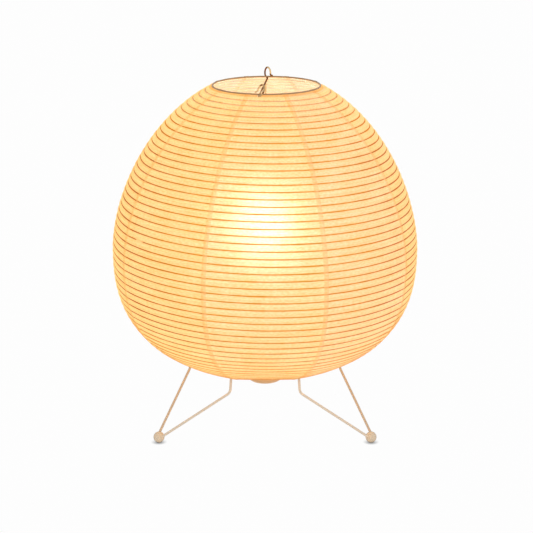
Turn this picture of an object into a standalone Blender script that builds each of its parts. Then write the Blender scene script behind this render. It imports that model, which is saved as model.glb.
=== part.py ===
"""Paper lantern table lamp: a gored paper shade on a spiral bamboo rib, held open by a wire stretcher
over a three-legged wire stand. Metres, +Z up, floor centre at the origin, front towards -Y."""

from math import atan2, ceil, cos, degrees, floor, pi, radians, sin, sqrt, tan

import bmesh
import bpy
from mathutils import Matrix, Vector

# Clearances
GAP = 0.0003
BORE_CLEARANCE = 0.0003

# Paper shade: an egg of two half profiles that meet at the belly
BELLY_RADIUS = 0.240
BELLY_HEIGHT = 0.2929
CROWN_REACH = 0.274
CROWN_SQUARENESS = 1.7275
KEEL_REACH = 0.2055
KEEL_SQUARENESS = 2.51
TOP_EDGE_RADIUS = 0.0845
BOTTOM_EDGE_RADIUS = 0.1205
PAPER = 0.0006
GORES = 8
GORE_FACETS = 4
PAPER_ROWS = 20
SEAM_GAP = 0.0003

# Bamboo rib: one strip wound as a spiral inside the paper
RIB_RADIUS = 0.0009
RIB_PITCH = 0.0109
RIB_START = 0.0078
RIB_START_AZIMUTH = radians(22.5)
RIB_END_MARGIN = 0.0095
RIB_STEPS = 2 * GORES

# Shade rings
RING_RADIUS = 0.0015
BOTTOM_RING_INSET = 0.0025

# Wire stand
WIRE_RADIUS = 0.0020
LEG_AZIMUTHS = {"left": radians(-60), "right": radians(60), "rear": radians(180)}
LEG_SPREAD = radians(33.6)
FOOT_RADIUS = 0.799 * BELLY_RADIUS
BALL_RADIUS = 0.0086
BALL_FLAT = 0.0005
KNEE_HEIGHT = 0.0864
KNEE_OUT = 0.0036
KNEE_BEND = 0.012
TOE_BEND = 0.008
HOOK_WRAP = radians(120)
STAND_DROP = 0.0016

# Hub and bottom cap
HUB_RADIUS = 0.030
HUB_THICKNESS = 0.0025
WASHER_RADIUS = 0.011
WASHER_THICKNESS = 0.0012
CAP_DEPTH = 0.0408
CAP_WALL = 0.0015
CAP_ROUND = 0.012
GLAND_DROP = 0.01395
GLAND_RADIUS = 0.0050
GLAND_BORE = 0.0034
GLAND_FLANGE = 0.0022
GLAND_TAIL = 0.0030

# Stem and nuts
STEM_RADIUS = 0.0050
STEM_BORE = 0.0035
WINDOW_RADIUS = 0.0026
NUT_CORNER_RADIUS = 0.0092
NUT_HEIGHT = 0.0045
CAP_NUT_HEIGHT = 0.0030

# Stretcher: crossbar, two uprights, and the saddle with sockets that carries them
BAR_RADIUS = 0.0013
BAR_AZIMUTH = radians(-4.6)
LOOP_RADIUS = 0.0088
LOOP_SKEW = radians(34)
LOOP_LEAN = 0.0014
LOOP_TURN = radians(272)
LOOP_LEAD_IN = radians(60)
LOOP_OUTSET = 0.0012
TIP_TURN = radians(53)
TIP_BEND = 0.0028
TIP_REACH = 0.0010
UPRIGHT_OFFSET = 0.046
SADDLE_WIDTH = 0.014
SADDLE_THICKNESS = 0.0025
SOCKET_RADIUS = 0.0032
SOCKET_DEPTH = 0.016
SLOT_MARGIN = 0.0009

# Lampholder and bulb: medium screw base, pear bulb
GLOBE_RADIUS = 0.030
GLOBE_HEIGHT = 0.342
GLASS = 0.0008
NECK_RADIUS = 0.0122
CAP_SHELL_RADIUS = 0.0131
CAP_SHELL_LENGTH = 0.0234
CAP_SHELL_WALL = 0.0006
BULB_LENGTH = 0.1117
CONTACT_RADIUS = 0.0032
CONTACT_HEIGHT = 0.0022
INSULATOR_HEIGHT = 0.0047
SCREW_SHELL_WALL = 0.0009
SCREW_CLEARANCE = 0.0004
SPRING_CONTACT_HEIGHT = 0.0045
INSERT_HEIGHT = 0.010
HOLDER_RADIUS = 0.020
HOLDER_WALL = 0.0020
BASE_DEPTH = 0.0210
BASE_FLOOR = 0.0060
TERMINAL_OFFSET = 0.0095
TERMINAL_RADIUS = 0.0014
TERMINAL_HEAD_RADIUS = 0.0026
TERMINAL_HEAD = 0.0020
FILAMENT_RADIUS = 0.0009
FILAMENT_SPREAD = 0.0055
MOUNT_ROD_RADIUS = 0.0022

# Facet counts
SMALL_FACETS = 16
ROUND_FACETS = 20
GLOBE_FACETS = 24
RING_FACETS = GORES * GORE_FACETS
LEG_RING_FACETS = 48
TUBE_SIDES = 6
BEND_STEPS = 5

for stale in list(bpy.data.objects):
    bpy.data.objects.remove(stale)

lamp = bpy.data.collections.new("lantern_table_lamp")
cutters = bpy.data.collections.new("lantern_cutters")
for folder in (lamp, cutters):
    bpy.context.scene.collection.children.link(folder)


# Materials

def finish(name, colour, roughness, metallic=0.0):
    """A plain Principled material in the colour of the real finish."""
    material = bpy.data.materials.new(name)
    material.use_nodes = True
    shader = material.node_tree.nodes["Principled BSDF"]
    shader.inputs["Base Color"].default_value = (*colour, 1.0)
    shader.inputs["Roughness"].default_value = roughness
    shader.inputs["Metallic"].default_value = metallic
    return material


WASHI = finish("washi_paper", (0.93, 0.78, 0.48), 0.85)
BAMBOO = finish("split_bamboo", (0.62, 0.36, 0.16), 0.6)
HEM_WIRE = finish("hem_wire", (0.45, 0.32, 0.22), 0.5, 0.6)
CREAM_ENAMEL = finish("cream_enamel", (0.68, 0.55, 0.42), 0.4)
BALL_ENAMEL = finish("ball_enamel", (0.74, 0.58, 0.42), 0.35)
TAN_ENAMEL = finish("tan_enamel", (0.60, 0.38, 0.20), 0.45)
BRIGHT_WIRE = finish("bright_wire", (0.60, 0.46, 0.30), 0.3, 1.0)
ZINC = finish("zinc_plate", (0.72, 0.72, 0.70), 0.35, 1.0)
BRASS = finish("brass", (0.80, 0.60, 0.25), 0.3, 1.0)
PHENOLIC = finish("white_phenolic", (0.86, 0.84, 0.78), 0.4)
PORCELAIN = finish("porcelain", (0.90, 0.89, 0.85), 0.25)
BLACK_RUBBER = finish("black_rubber", (0.05, 0.05, 0.05), 0.7)
BLACK_GLASS = finish("black_insulator", (0.03, 0.03, 0.03), 0.2)
OPAL_GLASS = finish("opal_glass", (0.96, 0.92, 0.80), 0.3)
CLEAR_GLASS = finish("clear_glass", (0.90, 0.92, 0.92), 0.05)
FILAMENT_COAT = finish("filament_coat", (0.95, 0.75, 0.25), 0.5)


# Modelling helpers

def keep(item, material, folder=lamp):
    """Put an object in its collection with its material."""
    for owner in list(item.users_collection):
        owner.objects.unlink(item)
    folder.objects.link(item)
    item.data.materials.clear()
    if material:
        item.data.materials.append(material)
    return item


def as_cutter(item):
    """Make an object a tool that only cuts."""
    keep(item, None, cutters)
    item.hide_render = True
    item.display_type = "WIRE"
    return item


def polar(radius, azimuth, height):
    """A point at an azimuth measured from the front (-Y) towards the right (+X)."""
    return Vector((radius * sin(azimuth), -radius * cos(azimuth), height))


def profile_mesh(name, outline, closed):
    """A half section as a chain of edges in the XZ plane."""
    mesh = bpy.data.meshes.new(name)
    chain = [(i, i + 1) for i in range(len(outline) - 1)]
    if closed:
        chain.append((len(outline) - 1, 0))
    mesh.from_pydata([(r, 0.0, z) for r, z in outline], chain, [])
    return mesh


def add_screw(item, facets, angle=2 * pi):
    """Revolve a half section about Z."""
    screw = item.modifiers.new("turn", "SCREW")
    screw.axis = "Z"
    screw.angle = angle
    screw.steps = facets
    screw.render_steps = facets
    screw.use_merge_vertices = True
    screw.merge_threshold = 0.00001
    return screw


def turned(name, outline, material, facets=SMALL_FACETS, closed=False, folder=lamp):
    """A turned solid. The outline runs down the outer side, and back up inside if it is closed."""
    item = bpy.data.objects.new(name, profile_mesh(name, outline, closed))
    keep(item, material, folder)
    add_screw(item, facets)
    return item


def tube_outline(outer, inner, low, high):
    """The half section of a plain tube."""
    return [(outer, high), (outer, low), (inner, low), (inner, high)]


def wire(name, points, radius, material, sides=TUBE_SIDES, cyclic=False, folder=lamp):
    """A round wire along a chain of points."""
    curve = bpy.data.curves.new(name, "CURVE")
    curve.dimensions = "3D"
    curve.fill_mode = "FULL"
    curve.bevel_depth = radius
    curve.bevel_resolution = (sides - 4) // 2
    curve.use_fill_caps = True
    spline = curve.splines.new("POLY")
    spline.points.add(len(points) - 1)
    for slot, point in zip(spline.points, points):
        slot.co = (*point, 1.0)
    spline.use_cyclic_u = cyclic
    item = bpy.data.objects.new(name, curve)
    return keep(item, material, folder)


def as_mesh(item):
    """Turn a wire into a closed mesh that can be cut or used to cut."""
    bpy.context.view_layer.update()
    graph = bpy.context.evaluated_depsgraph_get()
    mesh = bpy.data.meshes.new_from_object(item.evaluated_get(graph))
    welded = bmesh.new()
    welded.from_mesh(mesh)
    bmesh.ops.remove_doubles(welded, verts=welded.verts, dist=0.00001)
    bmesh.ops.recalc_face_normals(welded, faces=welded.faces)
    welded.to_mesh(mesh)
    welded.free()
    solid = bpy.data.objects.new(item.name + "_mesh", mesh)
    solid.matrix_world = item.matrix_world
    bpy.data.objects.remove(item)
    return solid


def cut(item, tool):
    """Cut a tool out of a piece."""
    boolean = item.modifiers.new("cut", "BOOLEAN")
    boolean.operation = "DIFFERENCE"
    boolean.object = tool
    return item


def box(name, low, high, material=None, folder=cutters):
    """An upright box between two corners."""
    low, high = Vector(low), Vector(high)
    solid = bmesh.new()
    scale = Matrix.Diagonal((*(high - low), 1.0))
    bmesh.ops.create_cube(solid, size=1.0, matrix=Matrix.Translation((low + high) / 2) @ scale)
    mesh = bpy.data.meshes.new(name)
    solid.to_mesh(mesh)
    solid.free()
    item = bpy.data.objects.new(name, mesh)
    return keep(item, material, folder)


def rounded(corners, bends, steps=BEND_STEPS):
    """A bent wire's centre line: straight runs between corners, with an arc of a set radius at each."""
    line = [Vector(corners[0])]
    for before, corner, after, bend in zip(corners, corners[1:], corners[2:], bends):
        into = (Vector(corner) - Vector(before)).normalized()
        out = (Vector(after) - Vector(corner)).normalized()
        turn = into.angle(out)
        start = Vector(corner) - into * bend * tan(turn / 2)
        inward = (out - into * out.dot(into)).normalized()
        for step in range(steps + 1):
            angle = turn * step / steps
            line.append(start + into * bend * sin(angle) + inward * bend * (1 - cos(angle)))
    line.append(Vector(corners[-1]))
    return line


# The paper's half section

def crown_height(radius):
    """Height above the floor where the crown has this radius."""
    return BELLY_HEIGHT + CROWN_REACH * (1 - (radius / BELLY_RADIUS) ** 2) ** (1 / CROWN_SQUARENESS)


def keel_height(radius):
    """Height above the floor where the underside has this radius."""
    return BELLY_HEIGHT - KEEL_REACH * (1 - (radius / BELLY_RADIUS) ** 2) ** (1 / KEEL_SQUARENESS)


def shade_radius(height):
    """The paper's outer radius at a height."""
    rise = height - BELLY_HEIGHT
    reach, squareness = (CROWN_REACH, CROWN_SQUARENESS) if rise > 0 else (KEEL_REACH, KEEL_SQUARENESS)
    return BELLY_RADIUS * sqrt(1 - (abs(rise) / reach) ** squareness)


def even_section(rows):
    """Points of the paper's outer half section, top to bottom, at even steps along the paper."""
    top, bottom = crown_height(TOP_EDGE_RADIUS), keel_height(BOTTOM_EDGE_RADIUS)
    samples = 100 * rows
    fine = []
    for i in range(samples + 1):
        height = top + (bottom - top) * i / samples
        fine.append(Vector((shade_radius(height), height)))
    lengths = [0.0]
    for a, b in zip(fine, fine[1:]):
        lengths.append(lengths[-1] + (b - a).length)
    points = []
    mark = 0
    for row in range(rows + 1):
        target = lengths[-1] * row / rows
        while mark < samples - 1 and lengths[mark + 1] < target:
            mark += 1
        share = (target - lengths[mark]) / (lengths[mark + 1] - lengths[mark])
        points.append(fine[mark].lerp(fine[mark + 1], share))
    return points


SECTION = even_section(PAPER_ROWS)
ROW_LENGTHS = [(b - a).length for a, b in zip(SECTION, SECTION[1:])]
PAPER_LENGTH = sum(ROW_LENGTHS)


def on_paper(distance, inset):
    """A point at a distance down the paper from its top edge, set in from the outer face."""
    row = 0
    while row < PAPER_ROWS - 1 and distance > ROW_LENGTHS[row]:
        distance -= ROW_LENGTHS[row]
        row += 1
    along = (SECTION[row + 1] - SECTION[row]).normalized()
    inward = Vector((along.y, -along.x))
    point = SECTION[row] + along * distance + inward * inset
    return point.x, point.y


# Shade

GORE_NAMES = ("front", "front_right", "right", "rear_right", "rear", "rear_left", "left", "front_left")
GORE_ANGLE = 2 * pi / GORES
SEAM_ANGLE = SEAM_GAP / TOP_EDGE_RADIUS


def paper_gore(side, azimuth):
    """One gore of the shade: a strip of the turned section between two seams."""
    outline = [(point.x, point.y) for point in SECTION]
    item = bpy.data.objects.new("paper_gore_" + side, profile_mesh("gore", outline, False))
    keep(item, WASHI)
    item.rotation_euler.z = azimuth - pi / 2 - (GORE_ANGLE - SEAM_ANGLE) / 2
    add_screw(item, GORE_FACETS, GORE_ANGLE - SEAM_ANGLE)
    sheet = item.modifiers.new("sheet", "SOLIDIFY")
    sheet.thickness = PAPER
    sheet.offset = -1.0
    sheet.use_even_offset = True
    return item


gores = {}
for count, side in enumerate(GORE_NAMES):
    gores[side] = paper_gore(side, count * GORE_ANGLE)


def rib_line():
    """The rib's centre line: it drops one pitch down the paper on each turn."""
    steps = floor((PAPER_LENGTH - RIB_END_MARGIN - RIB_START) / RIB_PITCH * RIB_STEPS)
    inset = PAPER + GAP + RIB_RADIUS
    line = []
    for step in range(steps + 1):
        radius, height = on_paper(RIB_START + RIB_PITCH * step / RIB_STEPS, inset)
        line.append(polar(radius, RIB_START_AZIMUTH + 2 * pi * step / RIB_STEPS, height))
    return line


spiral = rib_line()
wire("bamboo_rib", spiral, RIB_RADIUS, BAMBOO, sides=4)
turn_gap = min((a - b).length for a, b in zip(spiral, spiral[RIB_STEPS:])) - 2 * RIB_RADIUS
print("bamboo_rib turns %.1f, least gap between turns %.2f mm" % (len(spiral) / RIB_STEPS, turn_gap * 1000))


def shade_ring(name, radius, height, tube, material, facets):
    """A wire ring about the lamp's axis."""
    bpy.ops.mesh.primitive_torus_add(
        major_segments=facets, minor_segments=TUBE_SIDES, major_radius=radius, minor_radius=tube,
        location=(0.0, 0.0, height))
    item = bpy.context.object
    item.name = name
    return keep(item, material)


# The top ring is a bead on the paper's upper edge, the bottom ring lies inside the lower hem.
TOP_RING_RADIUS, TOP_RING_HEIGHT = on_paper(-(RING_RADIUS + GAP), PAPER / 2)
BOTTOM_RING_RADIUS, BOTTOM_RING_HEIGHT = on_paper(
    PAPER_LENGTH - BOTTOM_RING_INSET, PAPER + GAP + RING_RADIUS)
shade_ring("top_ring", TOP_RING_RADIUS, TOP_RING_HEIGHT, RING_RADIUS, HEM_WIRE, RING_FACETS)
shade_ring("bottom_ring", BOTTOM_RING_RADIUS, BOTTOM_RING_HEIGHT, RING_RADIUS, HEM_WIRE, RING_FACETS)


# Wire stand

HOOK_BEND = WIRE_RADIUS + GAP + RING_RADIUS
LEG_TOP_RADIUS = BOTTOM_RING_RADIUS * cos(pi / RING_FACETS) - HOOK_BEND
BALL_HEIGHT = BALL_RADIUS - BALL_FLAT


def leg_half():
    """One strand of a leg that stands in front, from the hook over the bottom ring to the toe."""
    outward = polar(1.0, LEG_SPREAD, 0.0)
    ring_seat = outward * (LEG_TOP_RADIUS + HOOK_BEND) + Vector((0.0, 0.0, BOTTOM_RING_HEIGHT))
    hook = []
    for step in range(BEND_STEPS + 1):
        angle = HOOK_WRAP * (1 - step / BEND_STEPS)
        rise = Vector((0.0, 0.0, HOOK_BEND * sin(angle)))
        hook.append(ring_seat - outward * HOOK_BEND * cos(angle) + rise)
    knee = polar(LEG_TOP_RADIUS + KNEE_OUT, LEG_SPREAD, KNEE_HEIGHT)
    ball = polar(FOOT_RADIUS, 0.0, BALL_HEIGHT)
    middle = polar((LEG_TOP_RADIUS + KNEE_OUT) * cos(LEG_SPREAD), 0.0, KNEE_HEIGHT)
    centre_line = (ball - middle).normalized()
    half_angle = atan2((knee - middle).length, (ball - middle).length)
    apex = ball + centre_line * TOE_BEND * (1 / sin(half_angle) - 1)
    return hook, knee, apex


def mirrored(point):
    """The same point on the leg's other strand."""
    return Vector((-point.x, point.y, point.z))


def leg_line():
    """A whole leg: hook, knee, toe, knee, hook, in one bent wire."""
    hook, knee, apex = leg_half()
    corners = [hook[-1], knee, apex, mirrored(knee), mirrored(hook[-1])]
    bent = rounded(corners, [KNEE_BEND, TOE_BEND, KNEE_BEND], 2 * BEND_STEPS - 2)
    return hook[:-1] + bent + [mirrored(point) for point in reversed(hook[:-1])]


def leg_with_ball(side, azimuth):
    """A leg and the ball that is pressed on its toe."""
    leg = wire("leg_" + side, leg_line(), WIRE_RADIUS, CREAM_ENAMEL)
    leg.rotation_euler.z = azimuth
    channel = wire("toe_channel_" + side, leg_line(), WIRE_RADIUS + BORE_CLEARANCE, None, folder=cutters)
    channel.rotation_euler.z = azimuth
    bpy.ops.mesh.primitive_uv_sphere_add(segments=SMALL_FACETS, ring_count=10, radius=BALL_RADIUS)
    ball = bpy.context.object
    ball.name = "foot_ball_" + side
    ball.location = polar(FOOT_RADIUS, azimuth, BALL_HEIGHT)
    keep(ball, BALL_ENAMEL)
    cut(ball, as_cutter(as_mesh(channel)))
    below = ball.location - Vector((BALL_RADIUS, BALL_RADIUS, BALL_HEIGHT + BALL_RADIUS))
    floor_tool = box("floor_" + side, below, below + Vector((2, 2, 1)) * BALL_RADIUS)
    cut(ball, as_cutter(floor_tool))


for side, azimuth in LEG_AZIMUTHS.items():
    leg_with_ball(side, azimuth)

STAND_RING_RADIUS = LEG_TOP_RADIUS - 2 * WIRE_RADIUS - GAP
STAND_HEIGHT = BOTTOM_RING_HEIGHT - STAND_DROP
shade_ring("stand_ring", STAND_RING_RADIUS, STAND_HEIGHT, WIRE_RADIUS, CREAM_ENAMEL, LEG_RING_FACETS)

SPOKE_INNER = HUB_RADIUS + GAP
SPOKE_OUTER = STAND_RING_RADIUS * cos(pi / LEG_RING_FACETS) - WIRE_RADIUS - GAP
for side, azimuth in LEG_AZIMUTHS.items():
    ends = [polar(SPOKE_INNER, azimuth, STAND_HEIGHT), polar(SPOKE_OUTER, azimuth, STAND_HEIGHT)]
    wire("spoke_" + side, ends, WIRE_RADIUS, CREAM_ENAMEL)


# Hub, cap and stem

STEM_HOLE = STEM_RADIUS + BORE_CLEARANCE
HUB_LOW = STAND_HEIGHT - HUB_THICKNESS / 2
HUB_HIGH = STAND_HEIGHT + HUB_THICKNESS / 2
WASHER_LOW = HUB_HIGH + GAP
WASHER_HIGH = WASHER_LOW + WASHER_THICKNESS
SADDLE_LOW = WASHER_HIGH + GAP
SADDLE_HIGH = SADDLE_LOW + SADDLE_THICKNESS
CAP_HIGH = HUB_LOW - GAP
CAP_LOW = CAP_HIGH - CAP_DEPTH
GLAND_HEIGHT = CAP_HIGH - GLAND_DROP
turned("hub_plate", tube_outline(HUB_RADIUS, STEM_HOLE, HUB_LOW, HUB_HIGH), ZINC, GLOBE_FACETS, True)
turned("hub_washer", tube_outline(WASHER_RADIUS, STEM_HOLE, WASHER_LOW, WASHER_HIGH), ZINC, closed=True)


def bowl_side(radius, floor_height, bend):
    """The round lower corner of the cap, from the wall down to the floor."""
    corner = []
    for step in range(BEND_STEPS + 1):
        angle = pi / 2 * step / BEND_STEPS
        corner.append((radius - bend * (1 - cos(angle)), floor_height + bend * (1 - sin(angle))))
    return corner


def bottom_cap():
    """The round cap that closes the hub from below, with the hole for the cord gland at the back."""
    outside = [(HUB_RADIUS, CAP_HIGH)] + bowl_side(HUB_RADIUS, CAP_LOW, CAP_ROUND)
    inside = bowl_side(HUB_RADIUS - CAP_WALL, CAP_LOW + CAP_WALL, CAP_ROUND - CAP_WALL)
    outline = outside + [(STEM_HOLE, CAP_LOW), (STEM_HOLE, CAP_LOW + CAP_WALL)]
    outline += list(reversed(inside)) + [(HUB_RADIUS - CAP_WALL, CAP_HIGH)]
    cap = turned("bottom_cap", outline, TAN_ENAMEL, GLOBE_FACETS, True)
    reach = GLAND_RADIUS + BORE_CLEARANCE
    hole = turned("gland_hole", [(0.0, HUB_RADIUS), (reach, HUB_RADIUS), (reach, 0.0), (0.0, 0.0)], None,
                  folder=cutters)
    hole.rotation_euler.x = -pi / 2
    hole.location = (0.0, HUB_RADIUS / 2, GLAND_HEIGHT)
    return cut(cap, as_cutter(hole))


def cord_gland():
    """The flanged bush that lines the cord hole. Its tail reaches inside the cap."""
    face = HUB_RADIUS + GAP
    flange = GLAND_RADIUS + GLAND_FLANGE
    tail = HUB_RADIUS - CAP_WALL - GLAND_TAIL
    outline = [(flange, face + GLAND_FLANGE), (flange, face), (GLAND_RADIUS, face), (GLAND_RADIUS, tail),
               (GLAND_BORE, tail), (GLAND_BORE, face + GLAND_FLANGE)]
    gland = turned("cord_gland", outline, BLACK_RUBBER, closed=True)
    gland.rotation_euler.x = -pi / 2
    gland.location.z = GLAND_HEIGHT
    return gland


bottom_cap()
cord_gland()


def stem_nut(name, low, height=NUT_HEIGHT, material=ZINC):
    """A hexagon nut on the stem."""
    bpy.ops.mesh.primitive_cylinder_add(
        vertices=6, radius=NUT_CORNER_RADIUS, depth=height, location=(0.0, 0.0, low + height / 2))
    nut = bpy.context.object
    nut.name = name
    keep(nut, material)
    bore = [(0.0, low + 2 * height), (STEM_HOLE, low + 2 * height), (STEM_HOLE, low - height),
            (0.0, low - height)]
    return cut(nut, as_cutter(turned(name + "_bore", bore, None, folder=cutters)))


# Heights of the lampholder and the bulb, worked down from the bulb's crown
BULB_LOW = GLOBE_HEIGHT + GLOBE_RADIUS - BULB_LENGTH
INSULATOR_LOW = BULB_LOW + CONTACT_HEIGHT + GAP
CAP_SHELL_LOW = INSULATOR_LOW + INSULATOR_HEIGHT + GAP
CAP_SHELL_HIGH = CAP_SHELL_LOW + CAP_SHELL_LENGTH
INSERT_HIGH = BULB_LOW - GAP - SPRING_CONTACT_HEIGHT - GAP
INSERT_LOW = INSERT_HIGH - INSERT_HEIGHT
BASE_HIGH = INSERT_LOW - GAP
BASE_LOW = BASE_HIGH - BASE_DEPTH
STEM_LOW = CAP_LOW - GAP - CAP_NUT_HEIGHT
STEM_HIGH = BASE_LOW + BASE_FLOOR
stem = turned("stem_tube", tube_outline(STEM_RADIUS, STEM_BORE, STEM_LOW, STEM_HIGH), ZINC, closed=True)
window = [(0.0, 2 * STEM_RADIUS), (WINDOW_RADIUS, 2 * STEM_RADIUS), (WINDOW_RADIUS, 0.0), (0.0, 0.0)]
window_tool = as_cutter(turned("cord_window", window, None, folder=cutters))
window_tool.rotation_euler.x = -pi / 2
window_tool.location.z = GLAND_HEIGHT
cut(stem, window_tool)
stem_nut("cap_nut", STEM_LOW, CAP_NUT_HEIGHT, TAN_ENAMEL)
stem_nut("hub_nut", SADDLE_HIGH + GAP)
stem_nut("holder_nut", BASE_LOW - GAP - NUT_HEIGHT)


# Stretcher

BAR_HEIGHT = TOP_RING_HEIGHT - RING_RADIUS - GAP - BAR_RADIUS
LOOP_CENTRE = TOP_RING_RADIUS + LOOP_OUTSET
LOOP_STEPS = ceil(degrees(LOOP_TURN) / 22)
TIP_STEPS = 3


def bar_hook():
    """The hook at the bar's front end: under the ring, up outside it, over it, down inside, tip aside."""
    line = []
    for step in range(LOOP_STEPS + 1):
        angle = LOOP_TURN * step / LOOP_STEPS
        skew = LOOP_RADIUS * sin(LOOP_SKEW) * min(1.0, angle / LOOP_LEAD_IN)
        across = skew * sin(angle) + LOOP_LEAN * (1 - cos(angle))
        out = LOOP_CENTRE + LOOP_RADIUS * cos(LOOP_SKEW) * sin(angle)
        height = BAR_HEIGHT + LOOP_RADIUS * (1 - cos(angle))
        line.append(Vector((across, -out, height)))
    end = line[-1]
    down = (end - line[-2]).normalized()
    aside = Vector((-sin(TIP_TURN), -cos(TIP_TURN), 0.0))
    for step in range(1, TIP_STEPS + 1):
        bend = pi / 2 * step / TIP_STEPS
        line.append(end + down * TIP_BEND * sin(bend) + aside * TIP_BEND * (1 - cos(bend)))
    return line + [line[-1] + aside * TIP_REACH]


def crossbar():
    """The straight bar with the same hook, turned half round, at each end."""
    front = bar_hook()
    rear = [Vector((-point.x, -point.y, point.z)) for point in reversed(front)]
    bar = wire("stretcher_crossbar", rear + front, BAR_RADIUS, BRIGHT_WIRE)
    bar.rotation_euler.z = BAR_AZIMUTH
    return bar


crossbar()


def hook_slot(side, azimuth):
    """The slit in the paper's top edge where a hook passes under the ring."""
    half = BAR_RADIUS + SLOT_MARGIN
    rising = bar_hook()[:LOOP_STEPS // 2]
    lead = max(point.x for point in rising if point.z < TOP_RING_HEIGHT)
    low = (-half, -(LOOP_CENTRE + LOOP_RADIUS), BAR_HEIGHT - half)
    high = (half + lead, -(TOP_EDGE_RADIUS - LOOP_RADIUS), TOP_RING_HEIGHT + LOOP_RADIUS)
    tool = box("hook_slot_" + side, low, high)
    tool.rotation_euler.z = azimuth
    cut(gores[side], as_cutter(tool))


hook_slot("front", BAR_AZIMUTH)
hook_slot("rear", BAR_AZIMUTH + pi)

SOCKET_LOW = SADDLE_HIGH + GAP
UPRIGHT_LOW = SOCKET_LOW
UPRIGHT_HIGH = BAR_HEIGHT - BAR_RADIUS - GAP
for side, azimuth in (("front", BAR_AZIMUTH), ("rear", BAR_AZIMUTH + pi)):
    bore = BAR_RADIUS + BORE_CLEARANCE
    section = tube_outline(SOCKET_RADIUS, bore, SOCKET_LOW, SOCKET_LOW + SOCKET_DEPTH)
    socket = turned("stretcher_socket_" + side, section, ZINC, closed=True)
    socket.location = polar(UPRIGHT_OFFSET, azimuth, 0.0)
    ends = [polar(UPRIGHT_OFFSET, azimuth, UPRIGHT_LOW), polar(UPRIGHT_OFFSET, azimuth, UPRIGHT_HIGH)]
    wire("stretcher_upright_" + side, ends, BAR_RADIUS, BRIGHT_WIRE)


def stretcher_saddle():
    """The flat bar on the hub that carries the two sockets."""
    reach = UPRIGHT_OFFSET + SADDLE_WIDTH / 2
    low = (-SADDLE_WIDTH / 2, -reach, SADDLE_LOW)
    saddle = box("stretcher_saddle", low, (SADDLE_WIDTH / 2, reach, SADDLE_HIGH), ZINC, lamp)
    corners = bmesh.new()
    corners.from_mesh(saddle.data)
    upright = [e for e in corners.edges if abs(e.verts[0].co.z - e.verts[1].co.z) > SADDLE_THICKNESS / 2]
    bmesh.ops.bevel(corners, geom=upright, offset=SADDLE_WIDTH / 4, segments=2, affect="EDGES", profile=0.5)
    corners.to_mesh(saddle.data)
    corners.free()
    saddle.rotation_euler.z = BAR_AZIMUTH
    hole = [(0.0, SADDLE_HIGH + SADDLE_THICKNESS), (STEM_HOLE, SADDLE_HIGH + SADDLE_THICKNESS),
            (STEM_HOLE, SADDLE_LOW - SADDLE_THICKNESS), (0.0, SADDLE_LOW - SADDLE_THICKNESS)]
    return cut(saddle, as_cutter(turned("saddle_hole", hole, None, folder=cutters)))


stretcher_saddle()


# Lampholder

def holder_base():
    """The cup that screws on the stem and carries the insert on its rim."""
    rim = HOLDER_RADIUS - HOLDER_WALL
    foot = HOLDER_RADIUS - 2 * HOLDER_WALL
    shoulder = BASE_LOW + BASE_FLOOR
    outline = [(HOLDER_RADIUS, BASE_HIGH), (HOLDER_RADIUS, shoulder), (foot, BASE_LOW),
               (STEM_HOLE, BASE_LOW), (STEM_HOLE, shoulder), (rim - HOLDER_WALL, shoulder),
               (rim - HOLDER_WALL, BASE_HIGH)]
    return turned("holder_base", outline, PHENOLIC, ROUND_FACETS, True)


SHELL_BORE = HOLDER_RADIUS - HOLDER_WALL
SCREW_BORE = (CAP_SHELL_RADIUS + SCREW_CLEARANCE) / cos(pi / ROUND_FACETS)
SCREW_SHELL_LOW = INSERT_HIGH + GAP
INSERT_RADIUS = SHELL_BORE * cos(pi / ROUND_FACETS) - GAP


def holder_insert():
    """The porcelain disc that insulates the contacts, with two holes for the terminal screws."""
    outline = [(0.0, INSERT_HIGH), (INSERT_RADIUS, INSERT_HIGH), (INSERT_RADIUS, INSERT_LOW),
               (0.0, INSERT_LOW)]
    insert = turned("holder_insert", outline, PORCELAIN, ROUND_FACETS)
    reach = TERMINAL_RADIUS + BORE_CLEARANCE
    for name, offset in (("live", -TERMINAL_OFFSET), ("neutral", TERMINAL_OFFSET)):
        deep = INSERT_LOW + INSERT_HEIGHT / 2
        below = INSERT_LOW - INSERT_HEIGHT
        hole = [(0.0, deep), (reach, deep), (reach, below), (0.0, below)]
        tool = as_cutter(turned("terminal_hole_" + name, hole, None, folder=cutters))
        tool.location.x = offset
        cut(insert, tool)
        head_high = INSERT_LOW - GAP
        head_low = head_high - TERMINAL_HEAD
        shank = [(0.0, deep - GAP), (TERMINAL_RADIUS, deep - GAP), (TERMINAL_RADIUS, head_high),
                 (TERMINAL_HEAD_RADIUS, head_high), (TERMINAL_HEAD_RADIUS, head_low), (0.0, head_low)]
        screw = turned("terminal_screw_" + name, shank, BRASS)
        screw.location.x = offset
    return insert


def screw_shell():
    """The brass sleeve that the bulb screws into, with a lip that stands on the insert."""
    outer = SCREW_BORE + SCREW_SHELL_WALL
    lip = CAP_SHELL_RADIUS - NECK_RADIUS / 3
    floor_high = SCREW_SHELL_LOW + SCREW_SHELL_WALL
    outline = [(outer, CAP_SHELL_HIGH), (outer, SCREW_SHELL_LOW), (lip, SCREW_SHELL_LOW), (lip, floor_high),
               (SCREW_BORE, floor_high), (SCREW_BORE, CAP_SHELL_HIGH)]
    return turned("screw_shell", outline, BRASS, ROUND_FACETS, True)


def centre_contact():
    """The domed spring contact under the bulb's tip."""
    low = INSERT_HIGH + GAP
    high = low + SPRING_CONTACT_HEIGHT - GAP
    outline = [(0.0, high), (CONTACT_RADIUS / 2, high), (CONTACT_RADIUS, high - CONTACT_RADIUS / 3),
               (CONTACT_RADIUS, low), (0.0, low)]
    return turned("centre_contact", outline, BRASS)


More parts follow.
